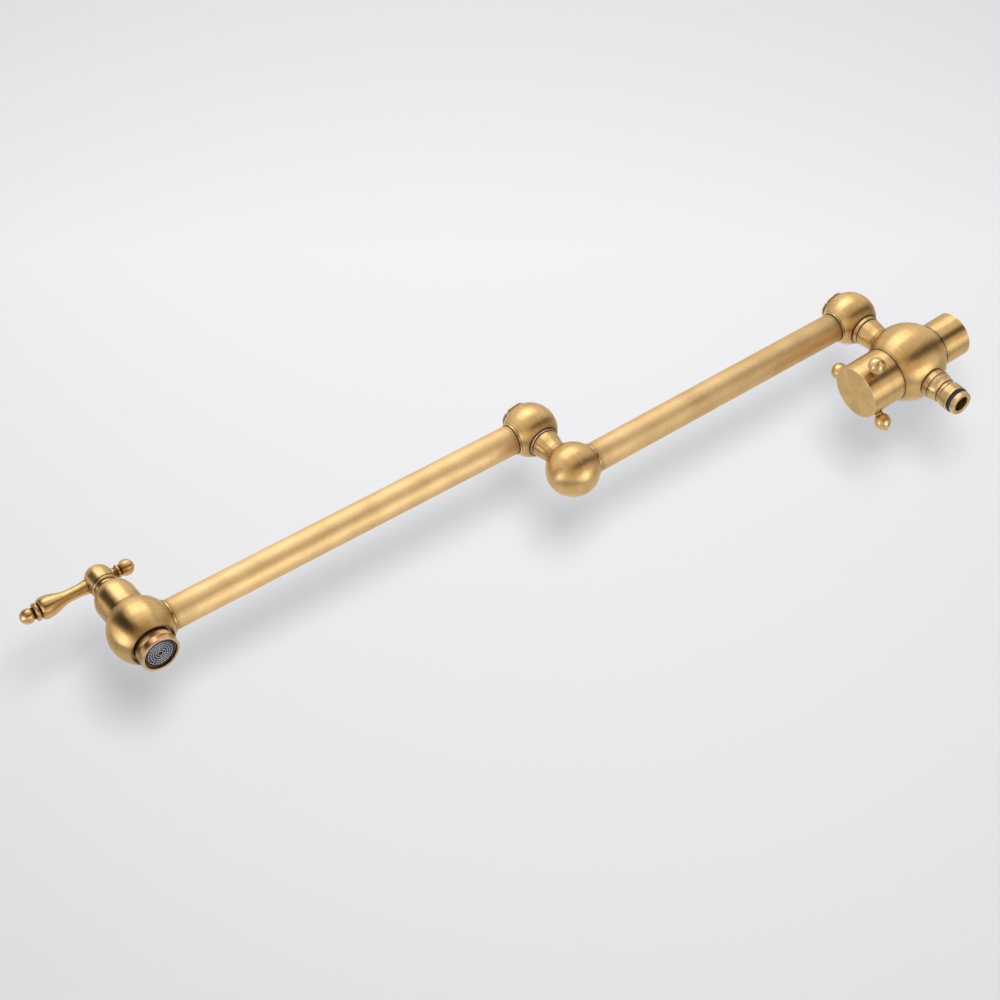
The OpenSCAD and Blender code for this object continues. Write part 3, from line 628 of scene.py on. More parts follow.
coloured = colour_mix(tree, math_node(tree, "MULTIPLY", wear, 0.65), coloured, given["Worn"])
# Painted shade, with some grime: near black in the deepest hollows and at the joins
coloured = colour_mix(tree, mapped(tree, shade_and_tarnish, 0.72, 0.95), coloured, given["Grime"])
feed(tree, end, Colour=coloured, Dullness=darkness)

# Even grain of a moulded, cast or machined surface, from the piece's own space
fine_grain, given, end = new_group(
    "fine_grain",
    [("Size", "Float", 2000.0), ("Light", "Color", (0.5, 0.5, 0.5, 1)),
     ("Dark", "Color", (0.3, 0.3, 0.3, 1))],
    [("Colour", "Color"), ("Grain", "Float")])
tree = fine_grain
where = add(tree, "TexCoord").outputs["Object"]
grains = add(tree, "TexNoise", Vector=where, Scale=given["Size"], Detail=3.0).outputs["Fac"]
mixed = colour_mix(tree, grains, given["Dark"], given["Light"])
feed(tree, end, Colour=mixed, Grain=grains)


# Materials
def new_material(name, metallic, roughness, **sockets):
    made = bpy.data.materials.new(name)
    made.use_nodes = True
    tree = made.node_tree
    shader = feed(
        tree, tree.nodes["Principled BSDF"], Metallic=metallic, Roughness=roughness, **sockets)
    return made, tree, shader


def placed(tree, group, **values):
    node = add(tree, "Group")
    node.node_tree = group
    return feed(tree, node, **values)


def add_bump(tree, shader, height, distance):
    bump = add(tree, "Bump", Height=height, Distance=distance * MM, Strength=1.0)
    feed(tree, shader, Normal=bump.outputs["Normal"])


def brass(name, colours, smooth, dull, lines, clouds, streaks, depth, stretch, turn=0.25, axis=""):
    """Turned or drawn brass.

    colours are its bright, deep and worn ones, smooth and dull the roughness of its clean and its
    dark places, and lines how close its lines are round and along it. stretch and turn shape the
    highlight, about the given axis or along the lathe's own lines.
    """
    made, tree, shader = new_material(name, 1.0, smooth, Anisotropic=stretch, Anisotropic_Rotation=turn)
    brushed = add(tree, "Tangent")
    brushed.direction_type = "RADIAL" if axis else "UV_MAP"
    if axis:
        brushed.axis = axis
    else:
        brushed.uv_map = "lathe"
    turned_lines = placed(tree, turning_lines, Round=lines[0], Along=lines[1])
    bright, deep, worn = colours
    aged_shaded = placed(
        tree, aged_and_shaded_finish, Bright=bright, Deep=deep, Worn=worn, Clouds=clouds, Streaks=streaks,
        Lines=turned_lines.outputs["Broad"])
    spread = mapped(tree, aged_shaded.outputs["Dullness"], 0.0, 1.0, smooth, dull)
    feed(
        tree, shader, Tangent=brushed.outputs[0], Base_Color=aged_shaded.outputs["Colour"], Roughness=spread)
    add_bump(tree, shader, turned_lines.outputs["Lines"], depth)
    return made


def plain(name, light, dark, metallic, roughness, size, depth):
    """Even grain between two colours: size is how fine it is, depth how deep, in millimetres."""
    made, tree, shader = new_material(name, metallic, roughness)
    grained = placed(tree, fine_grain, Size=size, Light=light, Dark=dark)
    feed(tree, shader, Base_Color=grained.outputs["Colour"])
    add_bump(tree, shader, grained.outputs["Grain"], depth)
    return made


deep_brown = (0.25, 0.124, 0.032, 1)
pale_edge = (0.95, 0.76, 0.48, 1)
warm = ((0.785, 0.52, 0.212, 1), deep_brown, pale_edge)
antique_brass = brass(
    "antique_brass", warm, smooth=0.34, dull=0.42, lines=(0.8, 0.8), clouds=0.34, streaks=0.6,
    depth=0.010, stretch=0.78)
ball_brass = brass(
    "ball_brass", warm, smooth=0.36, dull=0.44, lines=(0.8, 0.8), clouds=0.38, streaks=0.5,
    depth=0.008, stretch=0.60, axis="Y")
brushed_brass = brass(
    "brushed_brass", warm, smooth=0.36, dull=0.44, lines=(0.8, 0.9), clouds=0.22, streaks=0.7,
    depth=0.020, stretch=0.88)
drawn_brass = brass(
    "drawn_brass", ((0.83, 0.565, 0.26, 1), deep_brown, pale_edge), smooth=0.42, dull=0.50,
    lines=(9.0, 0.03), clouds=0.28, streaks=0.5, depth=0.012, stretch=0.76, turn=0.0)
plain_brass = brass(
    "plain_brass", ((0.78, 0.53, 0.24, 1), (0.20, 0.10, 0.03, 1), (0.95, 0.78, 0.50, 1)),
    smooth=0.28, dull=0.40, lines=(1.0, 0.9), clouds=0.24, streaks=0.6, depth=0.010, stretch=0.7)
rosy_brass = brass(
    "rosy_brass", ((0.60, 0.36, 0.17, 1), (0.20, 0.11, 0.05, 1), (0.86, 0.64, 0.42, 1)),
    smooth=0.36, dull=0.46, lines=(1.0, 0.9), clouds=0.24, streaks=0.5, depth=0.010, stretch=0.5)
machined_brass = plain(
    "machined_brass", (0.80, 0.60, 0.28, 1), (0.66, 0.45, 0.18, 1), 1.0, 0.3, size=700, depth=0.01)
black_rubber = plain(
    "black_rubber", (0.014, 0.014, 0.015, 1), (0.005, 0.005, 0.006, 1), 0.0, 0.6, size=1800, depth=0.02)
white_ceramic = plain(
    "white_ceramic", (0.86, 0.85, 0.80, 1), (0.74, 0.73, 0.68, 1), 0.0, 0.2, size=300, depth=0.004)
bearing_plastic = plain(
    "bearing_plastic", (0.80, 0.79, 0.73, 1), (0.70, 0.68, 0.62, 1), 0.0, 0.42, size=900, depth=0.02)
steel = plain("steel", (0.62, 0.62, 0.62, 1), (0.48, 0.48, 0.49, 1), 1.0, 0.3, size=1500, depth=0.01)

# The grille's plastic takes its painted shade, darker in its hollows and with depth, from the same finish
# group
grille_plastic, tree, shader = new_material("grille_plastic", metallic=0.0, roughness=0.4)
aged_shaded = placed(
    tree, aged_and_shaded_finish, Bright=(0.26, 0.26, 0.275, 1), Deep=(0.012, 0.012, 0.013, 1),
    Worn=(0.34, 0.34, 0.36, 1), Clouds=0.1, Hollows=1.0, Streaks=0.0, Grime=(0.006, 0.006, 0.007, 1))
feed(tree, shader, Base_Color=aged_shaded.outputs["Colour"])


# Geometry Nodes: copies of a piece in a ring about its Z axis
def ring_of_copies_tree():
    tree = bpy.data.node_groups.new("ring_of_copies", "GeometryNodeTree")
    inputs = (("Geometry", "Geometry"), ("Count", "Int"), ("First Turn", "Float"), ("Finish", "Material"))
    for label, kind in inputs:
        tree.interface.new_socket(label, in_out="INPUT", socket_type="NodeSocket" + kind)
    tree.interface.new_socket("Geometry", in_out="OUTPUT", socket_type="NodeSocketGeometry")
    given = tree.nodes.new("NodeGroupInput").outputs
    end = tree.nodes.new("NodeGroupOutput")
    spots = add(tree, "MeshLine", "GeometryNode", Count=given["Count"], Offset=(0, 0, 0))
    spots.mode = "OFFSET"
    index = add(tree, "InputIndex", "GeometryNode").outputs[0]
    turn = math_node(tree, "MULTIPLY", index, math_node(tree, "DIVIDE", 2 * math.pi, given["Count"]))
    turn = math_node(tree, "ADD", turn, given["First Turn"])
    copies = add(
        tree, "InstanceOnPoints", "GeometryNode", Points=spots.outputs["Mesh"], Instance=given["Geometry"],
        Rotation=add(tree, "CombineXYZ", Z=turn).outputs[0])
    real = add(tree, "RealizeInstances", "GeometryNode", Geometry=copies.outputs[0])
    finished = add(
        tree, "SetMaterial", "GeometryNode", Geometry=real.outputs[0], Material=given["Finish"])
    feed(tree, end, Geometry=finished.outputs[0])
    return tree


ring_of_copies = ring_of_copies_tree()


def evaluated_mesh(piece):
    """The piece's mesh with its modifiers applied."""
    return bpy.data.meshes.new_from_object(piece.evaluated_get(bpy.context.evaluated_depsgraph_get()))


def in_a_ring(name, one, count, first_turn, finish, place):
    """The piece repeated round its Z axis, made a plain mesh and set in its place."""
    modifier = one.modifiers.new("ring_of_copies", "NODES")
    modifier.node_group = ring_of_copies
    values = {"Count": count, "First Turn": math.radians(first_turn), "Finish": finish}
    for item in ring_of_copies.interface.items_tree:
        if item.in_out == "INPUT" and item.name in values:
            modifier[item.identifier] = values[item.name]
    mesh = evaluated_mesh(one)
    bpy.data.objects.remove(one)
    mesh.name = name
    mesh.transform(place)
    made = bpy.data.objects.new(name, mesh)
    scene.collection.objects.link(made)
    return made


def cut_flat(piece, at, facing):
    """Cuts a piece flat at a point of the row frame and closes the cut."""
    cutter = bmesh.new()
    cutter.from_mesh(piece.data)
    everything = cutter.verts[:] + cutter.edges[:] + cutter.faces[:]
    bmesh.ops.bisect_plane(cutter, geom=everything, plane_co=at, plane_no=facing, clear_outer=True)
    open_edges = [e for e in cutter.edges if e.is_boundary]
    bmesh.ops.holes_fill(cutter, edges=open_edges, sides=0)
    cutter.to_mesh(piece.data)
    cutter.free()
    piece.data.shade_smooth()
    piece.data.set_sharp_from_angle(angle=crease)


def drilled(piece, place, radius, start, end):
    """Cuts a round hole along Z of the given place."""
    drill = turned("drill", stairs(0, start, radius, end, 0), place, None, 32, 0)
    cutter = piece.modifiers.new("hole", "BOOLEAN")
    cutter.operation = "DIFFERENCE"
    cutter.object = drill
    mesh = evaluated_mesh(piece)
    piece.modifiers.remove(cutter)
    mesh.name = piece.data.name
    piece.data = mesh
    bpy.data.objects.remove(drill)
    mesh.set_sharp_from_angle(angle=crease)


# Valve body
body_outline = stairs(diverter_r, diverter_back, body_front, body_front_r, height_first=True)
body_outline += sphere_side(body_r, body_rear, body_front, 56)[1:-1]
body_outline += stairs(
    body_rear_r, -body_rear, sleeve_stub_r + seat_gap, stub_l - body_rear, waterway_r, diverter_back)
valve_body = turned(
    "valve_body_shell", body_outline, at_front, antique_brass, 128, 0.25,
    dark=[(body_rear_r, -body_rear, 2.0), (body_front_r, body_front, 1.5)])
cut_flat(valve_body, at_body @ Vector((0, 0, body_top * MM)), (0, 0, 1))
cut_flat(valve_body, at_body @ Vector((0, 0, -body_low * MM)), (0, 0, -1))
fitted(valve_body, "base", "valve_body")

# Inlet sleeve with the thread for a half-inch pipe
thread_low = wall_offset - inlet_depth
thread_start = thread_low + thread_gap
thread_high = wall_offset - inlet_chamfer


def thread_radius(r, height, angle):
    if not thread_start < height < thread_high or abs(r - inlet_r) > 0.01:
        return r
    phase = (height / thread_pitch + angle / (2 * math.pi)) % 1
    tooth = min(1, max(0, 1.35 - abs(phase - 0.5) * 3.6))
    run_in = min(1, (height - thread_start) / thread_run_in)
    return inlet_r + thread_h * tooth * run_in


sleeve_outline = stairs(sleeve_stub_r, body_rear - stub_l, body_rear, sleeve_r, height_first=True)
sleeve_outline += groove(sleeve_r, body_rear + 1, body_rear + 1.8, 0.4, 0.2)
sleeve_outline += [
    (sleeve_r, wall_offset - sleeve_chamfer), (sleeve_r - sleeve_chamfer, wall_offset),
    (inlet_r + inlet_chamfer, wall_offset)]
sleeve_outline += [
    (inlet_r, thread_high - (thread_high - thread_start) * i / thread_steps, 0)
    for i in range(thread_steps + 1)]
sleeve_outline += stairs(
    inlet_r, thread_low, relief_r, thread_low - relief_l, waterway_r, body_rear - stub_l)
inlet_sleeve = turned(
    "wall_sleeve", sleeve_outline, at_body @ wallward, brushed_brass, 96, 0.2,
    dark=[(sleeve_r, body_rear, 1.2)], shape=thread_radius)
fitted(inlet_sleeve, "base", "inlet_sleeve")

# Hose nipple, turned with its height measured down
nipple_outline = stairs(pin_r, body_low - stub_l, nipple_base, nipple_base_r, height_first=True)
nipple_outline += groove(nipple_base_r, nipple_base + nipple_base_h, nipple_base + 4.6, 0.25, 0.2)[:-1]
nipple_outline += [(nipple_base_r - 0.1, nipple_base + 4.6)]
nipple_outline += swell(nipple_base_r - 0.15, nipple_taper_r, nipple_base + 5, nipple_taper_end, 10)
nipple_outline += groove(nipple_step_r, nipple_step, nipple_step + 0.5, 0.3, 0.1)
nipple_outline += stairs(
    nipple_step_r, nipple_step_end, nipple_step_r - 0.5, nipple_collar, nipple_collar_r - 0.5)
nipple_outline += [(nipple_collar_r, nipple_collar + 0.7), (nipple_collar_r, nipple_collar_end - 0.4)]
nipple_outline += stairs(
    nipple_tip_r, nipple_collar_end, nipple_ring_r, nipple_ring_end, nipple_tip_r,
    nipple_tip - nipple_tip_edge)
nipple_outline += [(nipple_tip_r - nipple_tip_edge, nipple_tip), (nipple_bore_r + 0.3, nipple_tip)]
nipple_outline += stairs(
    nipple_bore_r, nipple_tip - 0.3, nipple_collar, nipple_inner_r, body_low - stub_l, height_first=True)
nipple = turned(
    "hose_nipple_turned", nipple_outline, at_body @ downward, plain_brass, 96, 0.15,
    dark=[(nipple_base_r, nipple_base, 1.0), (nipple_bore_r, nipple_tip - 6, 4.0)])
fitted(nipple, "base", "hose_nipple")


def neck(name, place, foot, rise, lip_r, lip_h, waist_r, waist_h, flare_r, ring_r, ring_h, undercut):
    """Neck and hollow pivot pin of a swivel, with heights measured from the ball below."""
    ring_top = rise - joint_face - joint_gap
    ring_low = ring_top - ring_h
    groove_low = ring_low - neck_groove_h
    outline = stairs(pin_bore_r, foot - stub_l, pin_r, foot, lip_r, foot + lip_h)
    outline += swell(lip_r - neck_step, waist_r, foot + lip_h, foot + waist_h, 12)
    outline += swell(waist_r, flare_r, foot + waist_h, groove_low, 14)[1:]
    outline += stairs(flare_r - undercut, groove_low, ring_low, ring_r - 0.3, height_first=True)
    outline += [
        (ring_r, ring_low + neck_step), (ring_r, ring_top - neck_step), (ring_r - neck_step, ring_top),
        (pin_r, ring_top)]
    for drop in pin_groove_drops:
        outline += groove(
            pin_r, rise - drop - pin_groove_half, rise - drop + pin_groove_half, pin_groove_depth)
    outline += [(pin_r, rise - pin_top_drop), (pin_bore_r, rise - pin_top_drop)]
    return turned(
        name, outline, place, antique_brass, 96, 0.15, dark=[(lip_r, foot, 1.2), (ring_r, ring_low, 0.8)])


riser = neck(
    "riser_neck", at_body, body_top, riser_rise, lip_r=9.6, lip_h=0.9, waist_r=8.4, waist_h=3.0,
    flare_r=9.4, ring_r=10.0, ring_h=2.6, undercut=0.5)
fitted(riser, "base", "riser_spigot")
elbow_neck = neck(
    "elbow_neck", at_elbow, elbow_foot, elbow_rise, lip_r=8.7, lip_h=0.9, waist_r=7.8, waist_h=4.2,
    flare_r=9.3, ring_r=9.7, ring_h=0.9, undercut=0.2)
fitted(elbow_neck, "inner_arm", "elbow_spigot")

# Diverter knob: a cup on a boss, with a hole for its grub screw
knob_outline = [
    (0, knob_reach), (knob_r - knob_edge, knob_reach, 0.1), (knob_r, knob_reach - knob_edge, 0.1)]
knob_outline += stairs(
    knob_r, knob_rim, knob_bore_r, knob_floor, knob_boss_r, knob_boss_low, knob_hole_r, spindle_top, 0)
knob = turned(
    "knob_cup", knob_outline, at_front, brushed_brass, 128, 0.25,
    dark=[(knob_r, knob_rim, 0.8)])
grub_turn = about("Z", knob_turn + 180)
grub_place = at_front @ grub_turn @ move(0, 0, stud_axis - grub_offset) @ about("Y", 90)
drilled(knob, grub_place, stud_shank_r + seat_gap, start=4.0, end=20.0)
rayed(knob, Vector((0, -1, 0)))
fitted(knob, "knob", "diverter_knob")

# Ball studs with their points
point_angle = math.degrees(math.acos(stud_ball_r / (stud_ball_r + stud_point)))
stud_end = stud_centre + stud_ball_r + stud_point
stud_outline = stairs(0, knob_bore_r, stud_shank_r, knob_r + seat_gap, stud_stem_r)
stud_outline += ball_on_neck(stud_centre, stud_ball_r, stud_stem_r, 90 - point_angle)
stud_outline += [(stud_tip_r, stud_end - stud_tip_h), (0, stud_end)]
stud = turned(
    "stud", stud_outline, move(0, 0, stud_axis) @ about("Y", 90), plain_brass, 48, 0.1,
    dark=[(stud_stem_r, knob_r + 0.5, 1.2)])
studs = in_a_ring("ball_studs", stud, stud_count, knob_turn, plain_brass, at_front)
fitted(studs, "knob", "knob_studs")


# Balls of the two swivels, with the collar where the tube enters
def collar_foot(ball_r):
    """How far out from its middle a ball is as wide as the collar on it."""
    return math.sqrt(ball_r ** 2 - collar_r ** 2)


def collar(ball_r, place, direction):
    foot = collar_foot(ball_r)
    outline = stairs(tube_r + seat_gap, foot - 1, collar_r, foot + collar_h, tube_r + seat_gap)
    return turned(
        "collar", outline, place @ direction, antique_brass, 80, 0.25, dark=[(collar_r, foot, 0.6)])


def swivel_ball(name, place):
    outline = stairs(ledge_r, ledge_low, ledge_high, chamber_r, cap_seat, cap_r, height_first=True)
    outline += sphere_side(joint_r, joint_face, cap_seat)[1:]
    outline += [(bush_r, -joint_face), (bush_r, ledge_low)]
    ball = turned(
        name, outline, place, ball_brass, 112, 0.2,
        dark=[(cap_r, cap_seat, 1.4), (joint_face_r, -joint_face, 1.8)])
    brushed_round(ball, place.translation, place.to_3x3() @ Vector((0, -1, 0)))
    return joined(name, [ball, collar(joint_r, place, outward)])


def swivel_cap(name, place):
    rim_low = cap_seat + gasket_t
    rim_high = rim_low + cap_t
    plug_low = cap_seat - cap_plug_h
    plug_bore_r = chamber_r - cap_plug_wall
    notch_turn = 2 * math.pi / cap_notches

    def notched(r, height, angle):
        if r < cap_r - 1.5 or height < rim_low - 0.01:
            return r
        turn = (angle + math.pi / 4 + notch_turn / 2) % notch_turn - notch_turn / 2
        across = abs(r * math.sin(turn))
        return min(r, (cap_r - notch_depth) / math.cos(turn)) if across < notch_w / 2 else r

    outline = [
        (0, rim_high), (cap_r - 2.4, rim_high), (cap_r - cap_land, rim_high), (cap_r - 0.3, rim_high, 0.15),
        (cap_r, rim_high - 0.25, 0.1), (cap_r, rim_low, 0.05), (cap_r - cap_land, rim_low)]
    outline += stairs(
        chamber_r - seat_gap, rim_low, plug_low, plug_bore_r, plug_low + 1, 0, height_first=True)
    return turned(
        name, outline, place, brushed_brass, 192, 0.1, dark=[(cap_r, rim_low, 0.5)], shape=notched)


def tube(name, place, length, last_socket, last_ball_r):
    """An arm's tube between two balls, painted darker, as shade and as patina, where it enters their
    collars.
    """
    end = length - last_socket
    outline = stairs(tube_bore_r, socket_floor, tube_r, end, tube_bore_r)
    edges = (collar_foot(joint_r) + collar_h, length - (collar_foot(last_ball_r) + collar_h))
    return turned(
        name, outline, place @ outward, drawn_brass, 96, 0.1, 12.0,
        dark=[(tube_r, edge, 2.4) for edge in edges])


for side, place in (("inner", at_inner_joint), ("outer", at_outer_joint)):
    fitted(swivel_ball(side + "_swivel_ball", place), side + "_arm", side + "_ball")
    fitted(swivel_cap(side + "_swivel_cap", place), side + "_arm", side + "_cap")
inner_tube = tube("inner_arm_tube", at_inner_joint, inner_arm_l, socket_floor, joint_r)
fitted(inner_tube, "inner_arm", "inner_tube")
outer_tube = tube("outer_arm_tube", at_outer_joint, outer_arm_l, spout_socket, spout_r)
fitted(outer_tube, "outer_arm", "outer_tube")

# Elbow ball, closed below
elbow_outline = [(0, -joint_r)]
elbow_outline += arc(0, 0, joint_r, -90, math.degrees(math.asin(elbow_foot / joint_r)), 52)[1:]
elbow_outline += stairs(
    pin_r + seat_gap, elbow_foot, elbow_foot - stub_l, waterway_r, 0, 0, height_first=True)
elbow_ball = turned(
    "elbow_ball_shell", elbow_outline, at_elbow, ball_brass, 112, 0.2, dark=[(8.5, elbow_foot, 2.0)])
brushed_round(elbow_ball, at_elbow.translation, at_elbow.to_3x3() @ Vector((0, 1, 0)))
elbow_ball = joined("elbow_ball_shell", [elbow_ball, collar(joint_r, at_elbow, wallward)])
fitted(elbow_ball, "inner_arm", "elbow_ball")

# Spout ball with its seat for the cartridge and its outlet
spout_outline = stairs(waterway_r, spout_chamber_low, spout_chamber_r, spout_top, bonnet_r)
spout_outline += sphere_side(spout_r, spout_low, spout_top, 48)[1:]
spout_outline += stairs(
    outlet_bore_r, -spout_low, outlet_depth - spout_low, aerator_thread_r + seat_gap, outlet_floor,
    waterway_r, height_first=True)
spout_ball = turned(
    "spout_ball_shell", spout_outline, at_spout, antique_brass, 128, 0.2,
    dark=[(bonnet_r, spout_top, 1.8), (outlet_r, -spout_low, 1.5)])
spout_ball = joined("spout_ball_shell", [spout_ball, collar(spout_r, at_spout, wallward)])
fitted(spout_ball, "outer_arm", "spout_ball")

# Bonnet with a rounded shoulder and a ringed neck
bonnet_outline = [
    (bonnet_bore_r, spout_top), (bonnet_r - bonnet_ring, spout_top), (bonnet_r, spout_top + bonnet_ring)]
bonnet_outline += shoulder(
    bonnet_neck_r - bonnet_inset, bonnet_wall_top, bonnet_r - bonnet_neck_r + bonnet_inset,
    bonnet_neck_low - bonnet_wall_top + 0.8, 68, 24)
bonnet_outline += [
    (bonnet_neck_r, bonnet_neck_low), (bonnet_neck_r, bonnet_neck_low + 0.8),
    (bonnet_neck_r + bonnet_ring, bonnet_neck_low + 1), (bonnet_neck_r + bonnet_ring, bonnet_top - 0.5)]
bonnet_outline += stairs(
    bonnet_neck_r, bonnet_top, bonnet_hole_r, bonnet_stem_top, bonnet_stem_r, bonnet_bore_top,
    bonnet_bore_r)
bonnet = turned(
    "bonnet_shell", bonnet_outline, at_spout, antique_brass, 96, 0.15,
    dark=[(bonnet_r, spout_top, 1.2), (bonnet_neck_r, bonnet_neck_low, 2.0)])
fitted(bonnet, "outer_arm", "spout_bonnet")

# Handle hub
hub_outline = stairs(0, lever_rise + hub_hole_h, hub_hole_r, hub_base, hub_r - 0.8)
hub_outline += [(hub_r - 0.3, hub_base + 0.4), (hub_r - 0.3, hub_base + 1.4), (hub_r, hub_base + 1.8)]
hub_outline += shoulder(0, lever_rise + 0.5, hub_r, hub_dome_h - 0.5, 90, 24)[:-1]
hub_outline += [(0, lever_rise + hub_dome_h)]
hub = turned(
    "hub_dome", hub_outline, at_spout, antique_brass, 96, 0.12, dark=[(hub_r, hub_base + 1.5, 0.8)])
fitted(hub, "handle", "handle_hub")

# Lever, turned along its own axis
lever_root_end = lever_root + lever_root_w
lever_outline = stairs(0, lever_shank, lever_shank_r, lever_root, lever_root_r, lever_root_end)
lever_outline += swell(lever_root_r - 0.1, lever_waist_r, lever_root_end, lever_waist, 10)
lever_outline += swell(lever_waist_r, lever_swell_r, lever_swell_start, lever_swell, 24)
lever_outline += shoulder(
    lever_end_r, lever_swell + 0.3, lever_swell_r - lever_end_r, lever_end - lever_swell - 0.3, 75, 10)
lever_outline += [(lever_end_r, lever_end), (lever_end_r, lever_end + 0.7)]
lever_outline += arc(4.4, lever_collar, lever_collar_ring_r, -80, 80, 10)
lever_outline += [(lever_neck_r, lever_collar + 1.4)]
lever_outline += ball_on_neck(lever_l, lever_ball_r, lever_neck_r)[:-1]
lever_outline += [(0, lever_l + lever_ball_r)]
lever = turned(
    "lever_baluster", lever_outline, at_lever @ outward, antique_brass, 80, 0.12,
    dark=[(lever_root_r, lever_root_end, 1.0), (4.6, lever_end + 0.4, 1.0),
          (3.2, lever_collar + 1.4, 0.8)])
fitted(lever, "handle", "lever")

# Finial opposite the lever
finial_outline = stairs(0, hub_hole_r, finial_shank_r, lever_root, finial_foot_r, finial_neck - 0.2)
finial_outline += [(finial_neck_r, finial_neck), (finial_neck_r, finial_ring - 2 * finial_ring_w)]
finial_outline += arc(
    finial_ring_r - finial_ring_w, finial_ring - finial_ring_w, finial_ring_w, -80, 80, 8)
finial_outline += ball_on_neck(finial_reach, finial_r, finial_neck_r)[:-1]
finial_outline += [(0, finial_reach + finial_r)]
finial = turned(
    "finial_ball", finial_outline, at_lever @ wallward, antique_brass, 72, 0.1,
    dark=[(finial_neck_r, finial_neck + 0.6, 0.9), (finial_neck_r, finial_ring + 0.3, 0.8)])
fitted(finial, "handle", "lever_finial")

# Aerator: a ribbed housing with two key flats, and a grey insert with its grille
flat_low = aerator_drop - key_flat_h


def ribbed(r, height, angle):
    if r < aerator_thread_r - 0.6 or height < rib_start - 0.6:
        return r
    if height < flat_low:
        ribs = rib_start < height < flat_low - 0.6
        return r - rib_h * (0.5 + 0.5 * math.cos(rib_count * angle)) if ribs else r
    across = math.cos(angle + math.radians(key_flat_turn))
    return min(r, (aerator_r - key_flat_depth) / max(0.05, abs(across)))


housing_outline = stairs(
    aerator_passage_r, aerator_top, aerator_thread_r, spout_low - outlet_depth, aerator_r)
housing_outline += [
    (aerator_r, height, 0)
    for height in (rib_start - 0.1, rib_start + 0.1, flat_low - 0.7, flat_low - 0.5, flat_low - 0.03,
                   flat_low + 0.03)]
housing_outline += [(aerator_r, aerator_drop - 0.5), (aerator_r - 0.5, aerator_drop)]
housing_outline += stairs(
    insert_r + mouth_gap, aerator_drop, aerator_drop - mouth_relief, insert_r + seat_gap, insert_top,
    aerator_passage_r, height_first=True)
housing = turned(
    "aerator_ring", housing_outline, at_outlet, rosy_brass, 288, 0.12, shape=ribbed,
    dark=[(aerator_r, spout_low - 1, 1.6), (insert_r, grille_face, 0.6)])
fitted(housing, "outer_arm", "aerator_housing")

insert_outline = stairs(
    insert_bore_r, insert_top, insert_r, grille_face - insert_step_h, insert_r - insert_step, grille_face,
    insert_bore_r)
grille_parts = [
    turned("insert_ring", insert_outline, at_outlet, grille_plastic, 96, 0.12)]


def grille_radius(i):
    return insert_bore_r * i / (grille_rings + 0.7)


for i in range(1, grille_rings + 1):
    middle = grille_radius(i)
    ring_outline = [
        (middle - grille_bar / 2, grille_face - grille_t), (middle + grille_bar / 2, grille_face - grille_t),
        (middle + grille_crest, grille_face), (middle - grille_crest, grille_face)]
    grille_parts.append(
        turned("grille_ring", ring_outline, at_outlet, grille_plastic, 64, 0.05))
for ring, share, first in ((1, 4, 0), (2, 4, 2), (3, 2, 1)):
    spoke_outline = stairs(0, grille_radius(ring), grille_bar / 2, insert_bore_r + 0.2, 0)
    spoke = turned(
        "spoke", spoke_outline, move(0, 0, grille_face - grille_bar / 2 - 0.15) @ about("Y", 90),
        grille_plastic, 6, 0)
    grille_parts.append(in_a_ring(
        "spokes", spoke, grille_spokes // share, first * 360 / grille_spokes, grille_plastic,
        at_outlet))
insert = joined("aerator_grille", grille_parts)

# Painted shade: the insert is painted dark along its bore and darker with depth
mouth = at_outlet @ Vector((0, 0, grille_face * MM))
into = (at_spout.translation - mouth).normalized()
darkness = []
for point in insert.data.vertices:
    side = point.co - mouth
    depth = side.dot(into) / MM
    at_bore = (side - into * side.dot(into)).length > (insert_bore_r - 0.05) * MM
    darkness.append(1.0 if at_bore else min(1.0, max(0.0, depth / 0.5)))
insert.data.attributes["shade_and_tarnish"].data.foreach_set("value", darkness)
fitted(insert, "outer_arm", "aerator_insert", slot="grey_plastic")

# Finishes of the pieces that keep their solids
finish_of = {
    machined_brass: [
        "diverter_housing", "diverter_spindle", "riser_washer", "riser_nut", "elbow_washer", "elbow_nut",
        "spout_cartridge", "spout_spindle"],
    black_rubber: [
        "inlet_washer", "nipple_gasket", "nipple_o_ring", "diverter_seat_seal", "riser_o_rings",
        "inner_cap_gasket", "elbow_o_rings", "outer_cap_gasket", "spout_seat_seal", "aerator_seal"],
    white_ceramic: [
        "diverter_fixed_disc", "diverter_moving_disc", "spout_fixed_disc", "spout_moving_disc"],
    bearing_plastic: ["inner_bush", "outer_bush"],
    steel: ["knob_grub_screw"]}
for finish, names in finish_of.items():
    for name in names:
        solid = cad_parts[name]
        if not solid.material_slots:
            solid.data.materials.append(finish)
        for place in solid.material_slots:
            place.link = "OBJECT"
            place.material = finish


# Stage: sheets, and the nodes of what they are made of
def facing_sheet(name, centre, facing, width, height, finish):
    """A flat sheet at a place, with its front to the given direction."""
    made = bpy.data.meshes.new(name)
    turn = Vector(facing).to_track_quat("Z", "Y").to_matrix().to_4x4()
    at_centre = Matrix.Translation(centre) @ turn
    corners = [(-1, -1), (1, -1), (1, 1), (-1, 1)]
    made.from_pydata(
        [at_centre @ Vector((x * width / 2, y * height / 2, 0)) for x, y in corners], [], [(0, 1, 2, 3)])
    made.materials.append(finish)
    sheet = bpy.data.objects.new(name, made)
    scene.collection.objects.link(sheet)
    return sheet


def emptied(owner, output_kind):
    """The node tree of a material or world, with nothing in it but its output."""
    owner.use_nodes = True
    tree = owner.node_tree
    tree.nodes.clear()
    return tree, add(tree, output_kind)


def either_shader(tree, factor, first, second, output):
    node = add(tree, "MixShader", Fac=factor)
    tree.links.new(first.outputs[0], node.inputs[1])
    tree.links.new(second.outputs[0], node.inputs[2])
    feed(tree, output, Surface=node.outputs[0])


